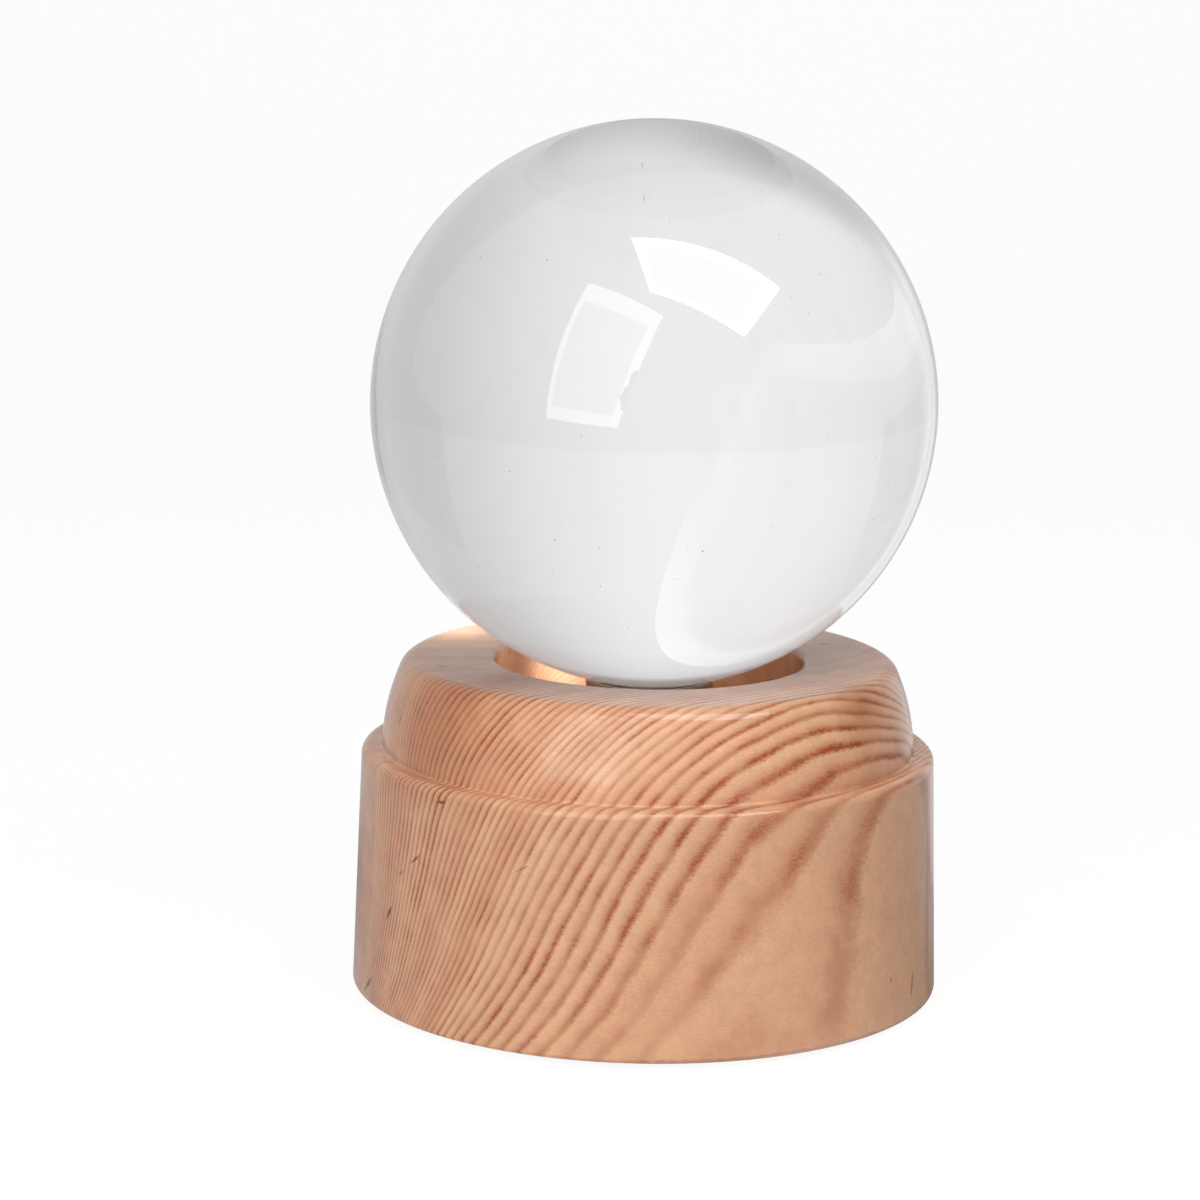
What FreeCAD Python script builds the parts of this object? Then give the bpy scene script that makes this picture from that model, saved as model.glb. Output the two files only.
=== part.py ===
import FreeCAD, Part
import math
import os
import re

import Sketcher

# Crystal ball lamp. A clear glass ball rests on a ring in the top of a turned wooden post.
# The post stands in a round well in a stepped wooden base, which holds the lamp's electrics.
# Up is +Z, the front is -Y, and the origin lies under the ball, on the surface it all stands on.
# Lengths are millimetres and angles are degrees. Heights inside the wood count from its underside.

SIZES = {
    # glass ball, and how closely the post and the ring under it follow its surface
    "ball_radius": 40.0,
    "ball_play": 0.3,
    "ring_play": 0.12,
    # wooden base, outside
    "base_radius": 42.2,
    "base_taper": 1.2,
    "ledge_height": 34.6,
    "ledge_width": 2.85,
    "tier_height": 12.84,
    "tier_lean": 3.25,
    "tier_bulge_radius": 30.6,
    "shoulder_round": 2.6,
    "ledge_round": 1.3,
    "underside_round": 0.7,
    "tier_corner_round": 0.35,
    # well in the top of the base
    "well_radius": 22.0,
    "well_depth": 14.04,
    "well_lip_round": 1.0,
    "well_corner_round": 0.8,
    # pocket milled from below, with a recess round it for the cover
    "web_thickness": 6.4,
    "rebate_width": 9.6,
    "pocket_corner_round": 1.5,
    "recess_wall": 3.6,
    "recess_depth": 3.0,
    # turned post that carries the ball, with a tenon glued through the web of the base
    "post_radius": 9.1,
    "post_height": 11.1,
    "post_edge_round": 0.25,
    "tenon_radius": 7.9,
    "tenon_play": 0.05,
    "tenon_short": 0.3,
    "passage_radius": 4.6,
    "guide_bore_radius": 5.8,
    "ring_seat_radius": 7.6,
    "ring_seat_depth": 1.2,
    # clear ring that the ball touches
    "ring_inner_radius": 5.95,
    "ring_side_play": 0.05,
    # clear rod that carries the light up to the ball
    "guide_play": 0.08,
    "guide_set_in": 1.1,
    "guide_length": 6.2,
    "guide_crown_radius": 24.0,
    "guide_hollow_radius": 2.9,
    "guide_hollow_depth": 1.4,
    "guide_edge_chamfer": 0.3,
    # round board under the web, with its light source
    "led_board_radius": 12.5,
    "led_board_thickness": 1.6,
    "led_screw_circle_radius": 10.3,
    "led_side": 5.0,
    "led_height": 0.9,
    "led_corner_round": 0.5,
    "led_dome_radius": 2.0,
    # small screws for both boards
    "small_screw_radius": 0.95,
    "small_screw_length": 4.6,
    "small_screw_point": 0.9,
    "small_head_radius": 1.9,
    "small_head_height": 1.2,
    "small_head_round": 0.45,
    "driver_bit_radius": 0.85,
    "driver_bit_depth": 0.6,
    "screw_hole_play": 0.15,
    "pilot_play": 0.05,
    # bottom cover and its four countersunk screws
    "cover_thickness": 2.6,
    "cover_play": 0.2,
    "cover_edge_chamfer": 0.4,
    "cover_screw_radius": 1.3,
    "cover_screw_length": 11.0,
    "cover_screw_point": 2.2,
    "cover_head_radius": 2.6,
    "cover_head_rim": 0.3,
    "cover_head_sink": 0.1,
    "cover_bit_radius": 1.1,
    "cover_bit_depth": 0.9,
    "standoff_radius": 2.4,
    "standoff_height": 4.0,
    "standoff_foot_round": 0.8,
    # rubber feet, let into the cover
    "foot_proud": 0.8,
    "foot_radius": 4.5,
    "foot_edge_distance": 5.4,
    "foot_let_in": 0.7,
    "foot_play": 0.1,
    "foot_round": 0.5,
    # driver board on the cover's standoffs, and what is on it
    "driver_forward": 8.0,
    "driver_length": 29.0,
    "driver_width": 17.0,
    "driver_thickness": 1.6,
    "driver_corner_round": 1.2,
    "driver_hole_inset": 3.5,
    "chip_length": 4.9,
    "chip_width": 3.9,
    "chip_height": 1.5,
    "chip_lift": 0.15,
    "chip_chamfer": 0.3,
    "leg_width": 0.45,
    "leg_thickness": 0.2,
    "leg_pitch": 1.27,
    "leg_reach": 1.05,
    "leg_rise": 0.75,
    "can_radius": 3.15,
    "can_height": 7.0,
    "can_crimp_height": 1.3,
    "can_crimp_depth": 0.25,
    "can_top_round": 0.5,
    "resistor_length": 3.2,
    "resistor_width": 1.6,
    "resistor_height": 0.6,
    "resistor_pitch": 2.6,
    "chip_across_share": -0.12,
    "chip_up_share": -0.1,
    "can_across_share": 0.17,
    "can_up_share": -0.22,
    "resistor_across_share": -0.16,
    "resistor_up_share": 0.3,
    # two stations at the back, each a milled slot with a thin wooden panel
    "station_height": 13.0,
    "station_angle": 26.0,
    "slot_width": 17.5,
    "slot_headroom": 8.6,
    "slot_run_in": 5.0,
    "panel_thickness": 3.8,
    "panel_set_in": 1.6,
    "spotface_play": 0.35,
    "washer_thickness": 0.5,
    "washer_rim": 1.3,
    "nut_thickness": 2.2,
    "nut_wall": 1.6,
    "nut_chamfer": 0.35,
    "thread_play": 0.03,
    "panel_hole_play": 0.15,
    # power inlet
    "jack_barrel_radius": 3.95,
    "jack_barrel_length": 12.6,
    "jack_flange_radius": 5.9,
    "jack_flange_thickness": 1.4,
    "jack_flange_chamfer": 0.4,
    "jack_mouth_radius": 3.1,
    "jack_mouth_depth": 9.5,
    "jack_mouth_chamfer": 0.35,
    "jack_pin_radius": 1.0,
    "jack_pin_recess": 0.9,
    "jack_pin_round": 0.5,
    "leaf_width": 1.6,
    "leaf_thickness": 0.25,
    "leaf_bow": 0.45,
    "leaf_tip_short": 1.8,
    # solder lugs of the inlet and the switch
    "lug_width": 1.8,
    "lug_thickness": 0.5,
    "lug_length": 3.5,
    "lug_spacing": 3.8,
    "lug_hole_radius": 0.45,
    # push switch
    "switch_barrel_radius": 5.2,
    "switch_barrel_length": 9.0,
    "switch_flange_radius": 6.8,
    "switch_flange_thickness": 1.4,
    "switch_flange_chamfer": 0.5,
    "switch_lip_thickness": 1.1,
    "switch_cavity_radius": 4.4,
    "switch_base_thickness": 2.0,
    "switch_base_play": 0.04,
    "switch_contact_radius": 0.5,
    "contact_play": 0.1,
    "button_radius": 3.5,
    "button_play": 0.2,
    "button_proud": 2.6,
    "button_crown_radius": 12.0,
    "button_round": 0.5,
    "button_travel": 2.0,
    "collar_radius": 4.2,
    "collar_thickness": 1.6,
    "collar_play": 0.1,
    "stem_radius": 1.4,
    "stem_length": 2.4,
    "plate_radius": 2.5,
    "plate_thickness": 0.4,
    "spring_radius": 3.1,
    "spring_wire_radius": 0.22,
    "spring_end_play": 0.05,
    # insulated leads
    "lead_radius": 0.6,
    "lead_pad_inset": 2.4,
    "lead_exit": 6.0,
    "lead_rise": 4.6,
    "overrun": 1.0,
    "same_place": 0.001,
}

SPRING_TURN_COUNT = 4
COVER_SCREW_COUNT = 4
LEG_COUNT = 4
RESISTOR_COUNT = 3

doc = FreeCAD.newDocument("crystal_ball_lamp")
sheet = doc.addObject("Spreadsheet::Sheet", "Sizes")
for row, (alias, number) in enumerate(SIZES.items(), 1):
    sheet.set(f"A{row}", alias)
    sheet.set(f"B{row}", str(number))
    sheet.setAlias(f"B{row}", alias)
doc.recompute()

pieces = []


# Places that several pieces share, written once as formulas of the named sizes

WOOD_FOOT = "foot_proud"
LEDGE_RADIUS = "(base_radius - base_taper)"
TIER_RADIUS = f"({LEDGE_RADIUS} - ledge_width)"
TIER_TOP_RADIUS = f"({TIER_RADIUS} - tier_lean)"
TOP_HEIGHT = "(ledge_height + tier_height)"
WELL_FLOOR = f"({TOP_HEIGHT} - well_depth)"
RECESS_RADIUS = "(base_radius - recess_wall)"
POCKET_RADIUS = f"({RECESS_RADIUS} - rebate_width)"
POCKET_HEIGHT = f"({WELL_FLOOR} - web_thickness)"
POST_EDGE = f"({WELL_FLOOR} + post_height)"
RING_SEAT = f"({POST_EDGE} - ring_seat_depth)"
GUIDE_EDGE = f"({RING_SEAT} - guide_set_in)"
GUIDE_STEP = f"({GUIDE_EDGE} - guide_length)"
POST_CURVE = "(ball_radius + ball_play)"
RING_CURVE = "(ball_radius + ring_play)"
BALL_CENTRE = f"({POST_EDGE} + sqrt({POST_CURVE} ^ 2 - post_radius ^ 2))"
WEB_UNDERSIDE = f"({WOOD_FOOT} + {POCKET_HEIGHT})"
COVER_FOOT = f"({WOOD_FOOT} + recess_depth - cover_thickness)"
COVER_TOP = f"({WOOD_FOOT} + recess_depth)"
DRIVER_FOOT = f"({COVER_TOP} + standoff_height)"
DRIVER_TOP = f"({DRIVER_FOOT} + driver_thickness)"
LED_BOARD_FOOT = f"({WEB_UNDERSIDE} - led_board_thickness)"
COVER_RADIUS = f"({RECESS_RADIUS} - cover_play)"
COVER_SCREW_CIRCLE = f"(({RECESS_RADIUS} + {POCKET_RADIUS}) / 2)"
FOOT_CIRCLE = f"({COVER_RADIUS} - foot_edge_distance - foot_radius)"
STANDOFF_REACH = "(driver_length / 2 - driver_hole_inset)"
PANEL_OUTER = "(base_radius - panel_set_in)"
PANEL_INNER = f"({PANEL_OUTER} - panel_thickness)"
SLOT_INNER = f"({POCKET_RADIUS} - slot_run_in)"
SLOT_TOP = "(station_height + slot_headroom)"
STATION_CENTRE = f"({WOOD_FOOT} + station_height)"
JACK_FRONT = f"({PANEL_OUTER} + jack_flange_thickness)"
JACK_FLOOR = f"({JACK_FRONT} - jack_mouth_depth)"
JACK_TAIL = f"({PANEL_OUTER} - jack_barrel_length)"
SWITCH_FRONT = f"({PANEL_OUTER} + switch_flange_thickness)"
SWITCH_TAIL = f"({PANEL_OUTER} - switch_barrel_length)"
SWITCH_LIP = f"({SWITCH_FRONT} - switch_lip_thickness)"
SWITCH_FLOOR = f"({SWITCH_TAIL} + switch_base_thickness)"
COLLAR_FRONT = f"({SWITCH_LIP} - collar_play)"
COLLAR_BACK = f"({COLLAR_FRONT} - collar_thickness)"
STEM_END = f"({COLLAR_BACK} - stem_length)"
JACK_TURN = "station_angle"
SWITCH_TURN = "-station_angle"


def formula(words):
    """Size names in words become cells of the sheet, as the document's expressions need them."""
    return re.sub(r"[a-z][a-z_]+", lambda m: f"Sizes.{m[0]}" if m[0] in SIZES else m[0], words)


def value(words):
    """The number that a formula of size names gives."""
    return float(sheet.evalExpression(formula(words)))


def bind(thing, target, words):
    """A property of a thing follows a formula of size names."""
    thing.setExpression(target, formula(words))


def keep(name, thing):
    """The thing is a finished piece: its label names its file."""
    thing.Label = name
    pieces.append(thing)
    return thing


def new_body(name, lift="0", turn="0"):
    """An empty body, lifted by a height and turned about the lamp's axis."""
    body = doc.addObject("PartDesign::Body", name)
    body.AllowCompound = True
    bind(body, "Placement.Base.z", lift)
    if turn != "0":
        bind(body, "Placement.Rotation.Angle", turn)
    return body


def new_sketch(body, plane, lift="0"):
    """An empty sketch on one of the body's own planes, moved along its normal by lift."""
    sketch = body.newObject("Sketcher::SketchObject", body.Name + "_sketch")
    sketch.AttachmentSupport = [(next(p for p in body.Origin.OriginFeatures if p.Role == plane), "")]
    sketch.MapMode = "FlatFace"
    if lift != "0":
        bind(sketch, "AttachmentOffset.Base.z", lift)
    return sketch


def pin_point(sketch, edge, end, across, up):
    """One end of an edge stays at these distances across and up from the sketch's origin."""
    for kind, words in (("DistanceX", across), ("DistanceY", up)):
        constraint = Sketcher.Constraint(kind, -1, 1, edge, end, value(words))
        number = sketch.addConstraint(constraint)
        if words != "0":
            bind(sketch, f"Constraints[{number}]", words)


def arc_between(start, end, radius, side):
    """The short arc between two points, with its centre to the left (side 1) or right (side -1)."""
    chord = end - start
    half = chord.Length / 2
    left = FreeCAD.Vector(-chord.y, chord.x, 0).normalize()
    centre = (start + end) / 2 + left * side * math.sqrt(radius ** 2 - half ** 2)
    first, last = (start, end) if side > 0 else (end, start)
    angles = [math.atan2(p.y - centre.y, p.x - centre.x) for p in (first, last)]
    return Part.ArcOfCircle(Part.Circle(centre, FreeCAD.Vector(0, 0, 1), radius), *angles)


def draw_outline(sketch, corners):
    """A closed outline, run anticlockwise. A corner is (across, up), and the run from it to the
    next one is straight, or with (across, up, radius, side) an arc: side 1 bulges, -1 hollows."""
    points = [FreeCAD.Vector(value(corner[0]), value(corner[1]), 0) for corner in corners]
    ends = []
    for place, corner in enumerate(corners):
        start, end = points[place], points[(place + 1) % len(points)]
        if len(corner) == 2:
            edge = sketch.addGeometry(Part.LineSegment(start, end))
            ends.append((edge, 1, 2))
        else:
            radius, side = corner[2:]
            edge = sketch.addGeometry(arc_between(start, end, value(radius), side))
            ends.append((edge, 1, 2) if side > 0 else (edge, 2, 1))
            number = sketch.addConstraint(Sketcher.Constraint("Radius", edge, value(radius)))
            bind(sketch, f"Constraints[{number}]", radius)
    for place, corner in enumerate(corners):
        edge, first, last = ends[place]
        after, after_first, _ = ends[(place + 1) % len(ends)]
        sketch.addConstraint(Sketcher.Constraint("Coincident", edge, last, after, after_first))
        pin_point(sketch, edge, first, corner[0], corner[1])


def draw_circle(sketch, across, up, radius):
    """A circle of a given radius about a point of the sketch."""
    centre = FreeCAD.Vector(value(across), value(up), 0)
    circle = Part.Circle(centre, FreeCAD.Vector(0, 0, 1), value(radius))
    edge = sketch.addGeometry(circle)
    number = sketch.addConstraint(Sketcher.Constraint("Radius", edge, value(radius)))
    bind(sketch, f"Constraints[{number}]", radius)
    pin_point(sketch, edge, 3, across, up)


def box_corners(low_across, low_up, high_across, high_up):
    """The corners of a rectangle, anticlockwise."""
    return [(low_across, low_up), (high_across, low_up),
            (high_across, high_up), (low_across, high_up)]


def turn_solid(body, corners, plane="XZ_Plane", off_axis="0", cut=False):
    """A solid of revolution, added to the body or cut from it. It turns about the sketch's
    upright axis, or about an upright line at off_axis, from which the corners then count."""
    sketch = new_sketch(body, plane)
    axis = "V_Axis"
    if off_axis != "0":
        corners = [(f"{off_axis} + {corner[0]}",) + tuple(corner[1:]) for corner in corners]
    draw_outline(sketch, corners)
    if off_axis != "0":
        foot = FreeCAD.Vector(value(off_axis), 0, 0)
        line = Part.LineSegment(foot, foot + FreeCAD.Vector(0, value("overrun"), 0))
        edge = sketch.addGeometry(line, True)
        pin_point(sketch, edge, 1, off_axis, "0")
        pin_point(sketch, edge, 2, off_axis, "overrun")
        axis = "Axis0"
    kind = "PartDesign::Groove" if cut else "PartDesign::Revolution"
    feature = body.newObject(kind, body.Name + "_turning")
    feature.Profile = sketch
    feature.ReferenceAxis = (sketch, [axis])
    feature.Angle = 360
    doc.recompute()
    return feature


def push_solid(body, draw, height, plane="XY_Plane", lift="0", cut=False, both_ways=False):
    """A straight pad or pocket: draw puts the outline into the sketch, height is its length."""
    sketch = new_sketch(body, plane, lift)
    draw(sketch)
    feature = body.newObject("PartDesign::Pocket" if cut else "PartDesign::Pad", body.Name + "_push")
    feature.Profile = sketch
    bind(feature, "Length", height)
    if cut:
        feature.Reversed = True
    if both_ways:
        feature.SideType = "Symmetric"
    doc.recompute()
    return feature


def repeat_round(body, feature, count):
    """Copies of a feature, spread evenly round the body's upright axis."""
    pattern = body.newObject("PartDesign::PolarPattern", body.Name + "_pattern")
    pattern.Originals = [feature]
    pattern.Axis = (feature.Profile[0], ["V_Axis"])
    pattern.Angle = 360
    pattern.Occurrences = count
    body.Tip = pattern
    doc.recompute()
    return pattern


def mirror(body, features, plane):
    """The mirror image of features in one of the body's own planes, added to them."""
    copy = body.newObject("PartDesign::Mirrored", body.Name + "_mirror")
    copy.Originals = features
    copy.MirrorPlane = (next(p for p in body.Origin.OriginFeatures if p.Role == plane), [""])
    body.Tip = copy
    doc.recompute()
    return copy


def rings_at(feature, places, along="z"):
    """Names of the feature's round edges with these (radius, distance along the axis)."""
    near = value("same_place")
    wanted = [(value(radius), value(distance)) for radius, distance in places]
    names = []
    for number, edge in enumerate(feature.Shape.Edges, 1):
        if edge.Degenerated or not isinstance(edge.Curve, Part.Circle):
            continue
        here = (edge.Curve.Radius, getattr(edge.Curve.Center, along))
        if any(abs(here[0] - r) < near and abs(here[1] - d) < near for r, d in wanted):
            names.append(f"Edge{number}")
    return names


def soften(body, feature, edges, size, chamfer=False):
    """The named edges of a feature are rounded or chamfered."""
    kind, target = ("Chamfer", "Size") if chamfer else ("Fillet", "Radius")
    softer = body.newObject("PartDesign::" + kind, body.Name + "_" + kind.lower())
    softer.Base = (feature, edges)
    bind(softer, target, size)
    doc.recompute()
    return softer


def soften_rings(body, feature, places, size, chamfer=False, along="z"):
    """Round edges at these (radius, distance) places are rounded or chamfered."""
    return soften(body, feature, rings_at(feature, places, along), size, chamfer)


def upright_edges(feature):
    """Names of a feature's straight edges that run along Z."""
    upright = FreeCAD.Vector(0, 0, 1)
    straight = [(number, edge) for number, edge in enumerate(feature.Shape.Edges, 1)
                if not edge.Degenerated and isinstance(edge.Curve, Part.Line)]
    return [f"Edge{number}" for number, edge in straight
            if edge.Curve.Direction.isParallel(upright, math.radians(1))]


# Glass ball: one solid sphere

ball = doc.addObject("Part::Sphere", "crystal_ball")
bind(ball, "Radius", "ball_radius")
bind(ball, "Placement.Base.z", f"{WOOD_FOOT} + {BALL_CENTRE}")
keep("crystal_ball", ball)


# Wooden base: one turning with two tiers, the well in its top and the pocket below

base_turning = new_body("base_turning", WOOD_FOOT)
TENON_HOLE = "(tenon_radius + tenon_play)"
shape = turn_solid(base_turning, [
    (TENON_HOLE, POCKET_HEIGHT),
    (POCKET_RADIUS, POCKET_HEIGHT),
    (POCKET_RADIUS, "recess_depth"),
    (RECESS_RADIUS, "recess_depth"),
    (RECESS_RADIUS, "0"),
    ("base_radius", "0"),
    (LEDGE_RADIUS, "ledge_height"),
    (TIER_RADIUS, "ledge_height", "tier_bulge_radius", 1),
    (TIER_TOP_RADIUS, TOP_HEIGHT),
    ("well_radius", TOP_HEIGHT),
    ("well_radius", WELL_FLOOR),
    (TENON_HOLE, WELL_FLOOR),
])
for radius, height, size in (
        ("base_radius", "0", "underside_round"),
        (LEDGE_RADIUS, "ledge_height", "ledge_round"),
        (TIER_RADIUS, "ledge_height", "tier_corner_round"),
        (TIER_TOP_RADIUS, TOP_HEIGHT, "shoulder_round"),
        ("well_radius", TOP_HEIGHT, "well_lip_round"),
        ("well_radius", WELL_FLOOR, "well_corner_round"),
        (POCKET_RADIUS, POCKET_HEIGHT, "pocket_corner_round")):
    shape = soften_rings(base_turning, shape, [(radius, height)], size)


# What a cutter takes out of the base at each station at the back, in the station's own frame,
# whose Y axis is the hole's axis: the slot, the hole through the panel and its spot face

def station_cutter(name, turn, hole_radius, flange_radius):
    """A cutter for one station, as a body turned to the station's place."""
    cutter = new_body(name, STATION_CENTRE, turn)
    slot = box_corners("-slot_width / 2", SLOT_INNER, "slot_width / 2", PANEL_INNER)
    push_solid(cutter, lambda sketch: draw_outline(sketch, slot),
               f"{SLOT_TOP} + overrun", lift="-station_height - overrun")
    spot = f"{flange_radius} + spotface_play"
    turn_solid(cutter, [
        ("0", SLOT_INNER),
        (f"{hole_radius} + panel_hole_play", SLOT_INNER),
        (f"{hole_radius} + panel_hole_play", PANEL_OUTER),
        (spot, PANEL_OUTER),
        (spot, "base_radius + overrun"),
        ("0", "base_radius + overrun"),
    ], plane="XY_Plane")
    return cutter


jack_cutter = station_cutter("jack_cutter", JACK_TURN, "jack_barrel_radius", "jack_flange_radius")
switch_cutter = station_cutter("switch_cutter", SWITCH_TURN, "switch_barrel_radius",
                               "switch_flange_radius")

# Pilot holes for the screws of the cover and of the round board

COVER_SCREW_TIP = "(recess_depth - cover_thickness + cover_head_sink + cover_screw_length)"
cover_pilots = new_body("cover_pilots", WOOD_FOOT)
pilot = turn_solid(cover_pilots, [
    ("0", "recess_depth - overrun"),
    ("cover_screw_radius + pilot_play", "recess_depth - overrun"),
    ("cover_screw_radius + pilot_play", f"{COVER_SCREW_TIP} + pilot_play"),
    ("0", f"{COVER_SCREW_TIP} + pilot_play"),
], off_axis=COVER_SCREW_CIRCLE)
repeat_round(cover_pilots, pilot, COVER_SCREW_COUNT)

LED_SCREW_REACH = "(small_screw_length - led_board_thickness)"
led_pilots = new_body("led_pilots", WOOD_FOOT)
pilot = turn_solid(led_pilots, [
    ("0", f"{POCKET_HEIGHT} - overrun"),
    ("small_screw_radius + pilot_play", f"{POCKET_HEIGHT} - overrun"),
    ("small_screw_radius + pilot_play", f"{POCKET_HEIGHT} + {LED_SCREW_REACH} + pilot_play"),
    ("0", f"{POCKET_HEIGHT} + {LED_SCREW_REACH} + pilot_play"),
], off_axis="led_screw_circle_radius")
repeat_round(led_pilots, pilot, 2)

cutters = doc.addObject("Part::MultiFuse", "base_cutters")
cutters.Shapes = [jack_cutter, switch_cutter, cover_pilots, led_pilots]
wood_base = doc.addObject("Part::Cut", "wood_base")
wood_base.Base = base_turning
wood_base.Tool = cutters
keep("wood_base", wood_base)


# Seat post: turned wood, tenon below, dished to the ball's curve above, bored for the light

def under_ball(curve, radius):
    """Height at which a sphere about the ball's centre stands above a circle of this radius."""
    return f"({BALL_CENTRE} - sqrt({curve} ^ 2 - ({radius}) ^ 2))"


seat_post = keep("seat_post", new_body("seat_post", WOOD_FOOT))
shape = turn_solid(seat_post, [
    ("passage_radius", f"{POCKET_HEIGHT} + tenon_short"),
    ("tenon_radius", f"{POCKET_HEIGHT} + tenon_short"),
    ("tenon_radius", WELL_FLOOR),
    ("post_radius", WELL_FLOOR),
    ("post_radius", POST_EDGE, POST_CURVE, -1),
    ("ring_seat_radius", under_ball(POST_CURVE, "ring_seat_radius")),
    ("ring_seat_radius", RING_SEAT),
    ("guide_bore_radius", RING_SEAT),
    ("guide_bore_radius", GUIDE_STEP),
    ("passage_radius", GUIDE_STEP),
])
soften_rings(seat_post, shape, [("post_radius", POST_EDGE)], "post_edge_round")

# Seat ring: clear silicone, its top follows the ball

seat_ring = keep("seat_ring", new_body("seat_ring", WOOD_FOOT))
RING_OUTER = "(ring_seat_radius - ring_side_play)"
turn_solid(seat_ring, [
    ("ring_inner_radius", RING_SEAT),
    (RING_OUTER, RING_SEAT),
    (RING_OUTER, under_ball(RING_CURVE, RING_OUTER), RING_CURVE, -1),
    ("ring_inner_radius", under_ball(RING_CURVE, "ring_inner_radius")),
])

# Light guide: clear acrylic rod on a step of the post's bore, crowned top, hollow over the lamp

light_guide = keep("light_guide", new_body("light_guide", WOOD_FOOT))
GUIDE_RADIUS = "(guide_bore_radius - guide_play)"
CROWN_RISE = f"(guide_crown_radius - sqrt(guide_crown_radius ^ 2 - {GUIDE_RADIUS} ^ 2))"
HOLLOW_CURVE = "((guide_hollow_radius ^ 2 + guide_hollow_depth ^ 2) / (2 * guide_hollow_depth))"
shape = turn_solid(light_guide, [
    ("0", f"{GUIDE_STEP} + guide_hollow_depth", HOLLOW_CURVE, -1),
    ("guide_hollow_radius", GUIDE_STEP),
    (GUIDE_RADIUS, GUIDE_STEP),
    (GUIDE_RADIUS, GUIDE_EDGE, "guide_crown_radius", 1),
    ("0", f"{GUIDE_EDGE} + {CROWN_RISE}"),
])
soften_rings(light_guide, shape, [(GUIDE_RADIUS, GUIDE_STEP)],
             "guide_edge_chamfer", chamfer=True)


# Round board, screwed up against the web, and the light source in the middle of it

led_board = keep("led_board", new_body("led_board", LED_BOARD_FOOT))
board = push_solid(led_board, lambda sketch: draw_circle(sketch, "0", "0", "led_board_radius"),
                   "led_board_thickness")
hole = turn_solid(led_board, [
    ("0", "-overrun"),
    ("small_screw_radius + screw_hole_play", "-overrun"),
    ("small_screw_radius + screw_hole_play", "led_board_thickness + overrun"),
    ("0", "led_board_thickness + overrun"),
], off_axis="led_screw_circle_radius", cut=True)
repeat_round(led_board, hole, 2)

led_package = keep("led_package", new_body("led_package", WEB_UNDERSIDE))
square = box_corners("-led_side / 2", "-led_side / 2", "led_side / 2", "led_side / 2")
shape = push_solid(led_package, lambda sketch: draw_outline(sketch, square), "led_height")
soften(led_package, shape, upright_edges(shape), "led_corner_round")
turn_solid(led_package, [
    ("0", "0"),
    ("led_dome_radius", "0"),
    ("led_dome_radius", "led_height", "led_dome_radius", 1),
    ("0", "led_height + led_dome_radius"),
])


# Small pan-head screws in pairs, heads down and points up, or overturned. Height 0 is under the head

def small_screws(name, lift, circle, overturned=False):
    """A body with two small screws that face each other across a circle."""
    body = new_body(name, lift)
    if overturned:
        body.Placement.Rotation = FreeCAD.Rotation(FreeCAD.Vector(1, 0, 0), 180)
    screw = turn_solid(body, [
        ("0", "-(small_head_height - driver_bit_depth)"),
        ("driver_bit_radius", "-(small_head_height - driver_bit_depth)"),
        ("driver_bit_radius", "-small_head_height"),
        ("small_head_radius - small_head_round", "-small_head_height", "small_head_round", 1),
        ("small_head_radius", "-(small_head_height - small_head_round)"),
        ("small_head_radius", "0"),
        ("small_screw_radius", "0"),
        ("small_screw_radius", "small_screw_length - small_screw_point"),
        ("0", "small_screw_length"),
    ], off_axis=circle)
    repeat_round(body, screw, 2)
    return body


keep("led_screws", small_screws("led_screws", LED_BOARD_FOOT, "led_screw_circle_radius"))


# Bottom cover: moulded disc in the recess, with standoffs for the driver board above,
# countersunk screw holes and round seats for the feet below

def four_round(radius, circle):
    """Draws four circles on the diagonals of a larger circle."""
    reach = f"{circle} * sqrt(0.5)"

    def draw(sketch):
        for across, up in ((1, 1), (-1, 1), (-1, -1), (1, -1)):
            draw_circle(sketch, f"{across} * {reach}", f"{up} * {reach}", radius)
    return draw


def two_round(radius, up="0"):
    """Draws two circles, where the driver board's screws are."""
    def draw(sketch):
        for across in (STANDOFF_REACH, f"-{STANDOFF_REACH}"):
            draw_circle(sketch, across, up, radius)
    return draw


bottom_cover = keep("bottom_cover", new_body("bottom_cover", COVER_FOOT))
shape = turn_solid(bottom_cover, [
    ("0", "0"),
    (COVER_RADIUS, "0"),
    (COVER_RADIUS, "cover_thickness"),
    ("0", "cover_thickness"),
])
soften_rings(bottom_cover, shape, [(COVER_RADIUS, "0")], "cover_edge_chamfer", chamfer=True)
shape = push_solid(bottom_cover, two_round("standoff_radius", "-driver_forward"),
                   "standoff_height", lift="cover_thickness")
soften_rings(bottom_cover, shape, [("standoff_radius", "cover_thickness")], "standoff_foot_round")
STANDOFF_HOLE_DEPTH = "(small_screw_length - driver_thickness + pilot_play)"
push_solid(bottom_cover, two_round("small_screw_radius + pilot_play", "-driver_forward"),
           f"{STANDOFF_HOLE_DEPTH} + overrun",
           lift=f"cover_thickness + standoff_height - {STANDOFF_HOLE_DEPTH}", cut=True)
push_solid(bottom_cover, four_round("foot_radius + foot_play", FOOT_CIRCLE),
           "foot_let_in + overrun", lift="-overrun", cut=True)
HEAD_HOLE = "(cover_head_radius + pilot_play)"
SHANK_HOLE = "(cover_screw_radius + screw_hole_play)"
HEAD_RIM = "(cover_head_sink + cover_head_rim)"
hole = turn_solid(bottom_cover, [
    ("0", "-overrun"),
    (HEAD_HOLE, "-overrun"),
    (HEAD_HOLE, HEAD_RIM),
    (SHANK_HOLE, f"{HEAD_RIM} + {HEAD_HOLE} - {SHANK_HOLE}"),
    (SHANK_HOLE, "cover_thickness + overrun"),
    ("0", "cover_thickness + overrun"),
], off_axis=COVER_SCREW_CIRCLE, cut=True)
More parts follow.
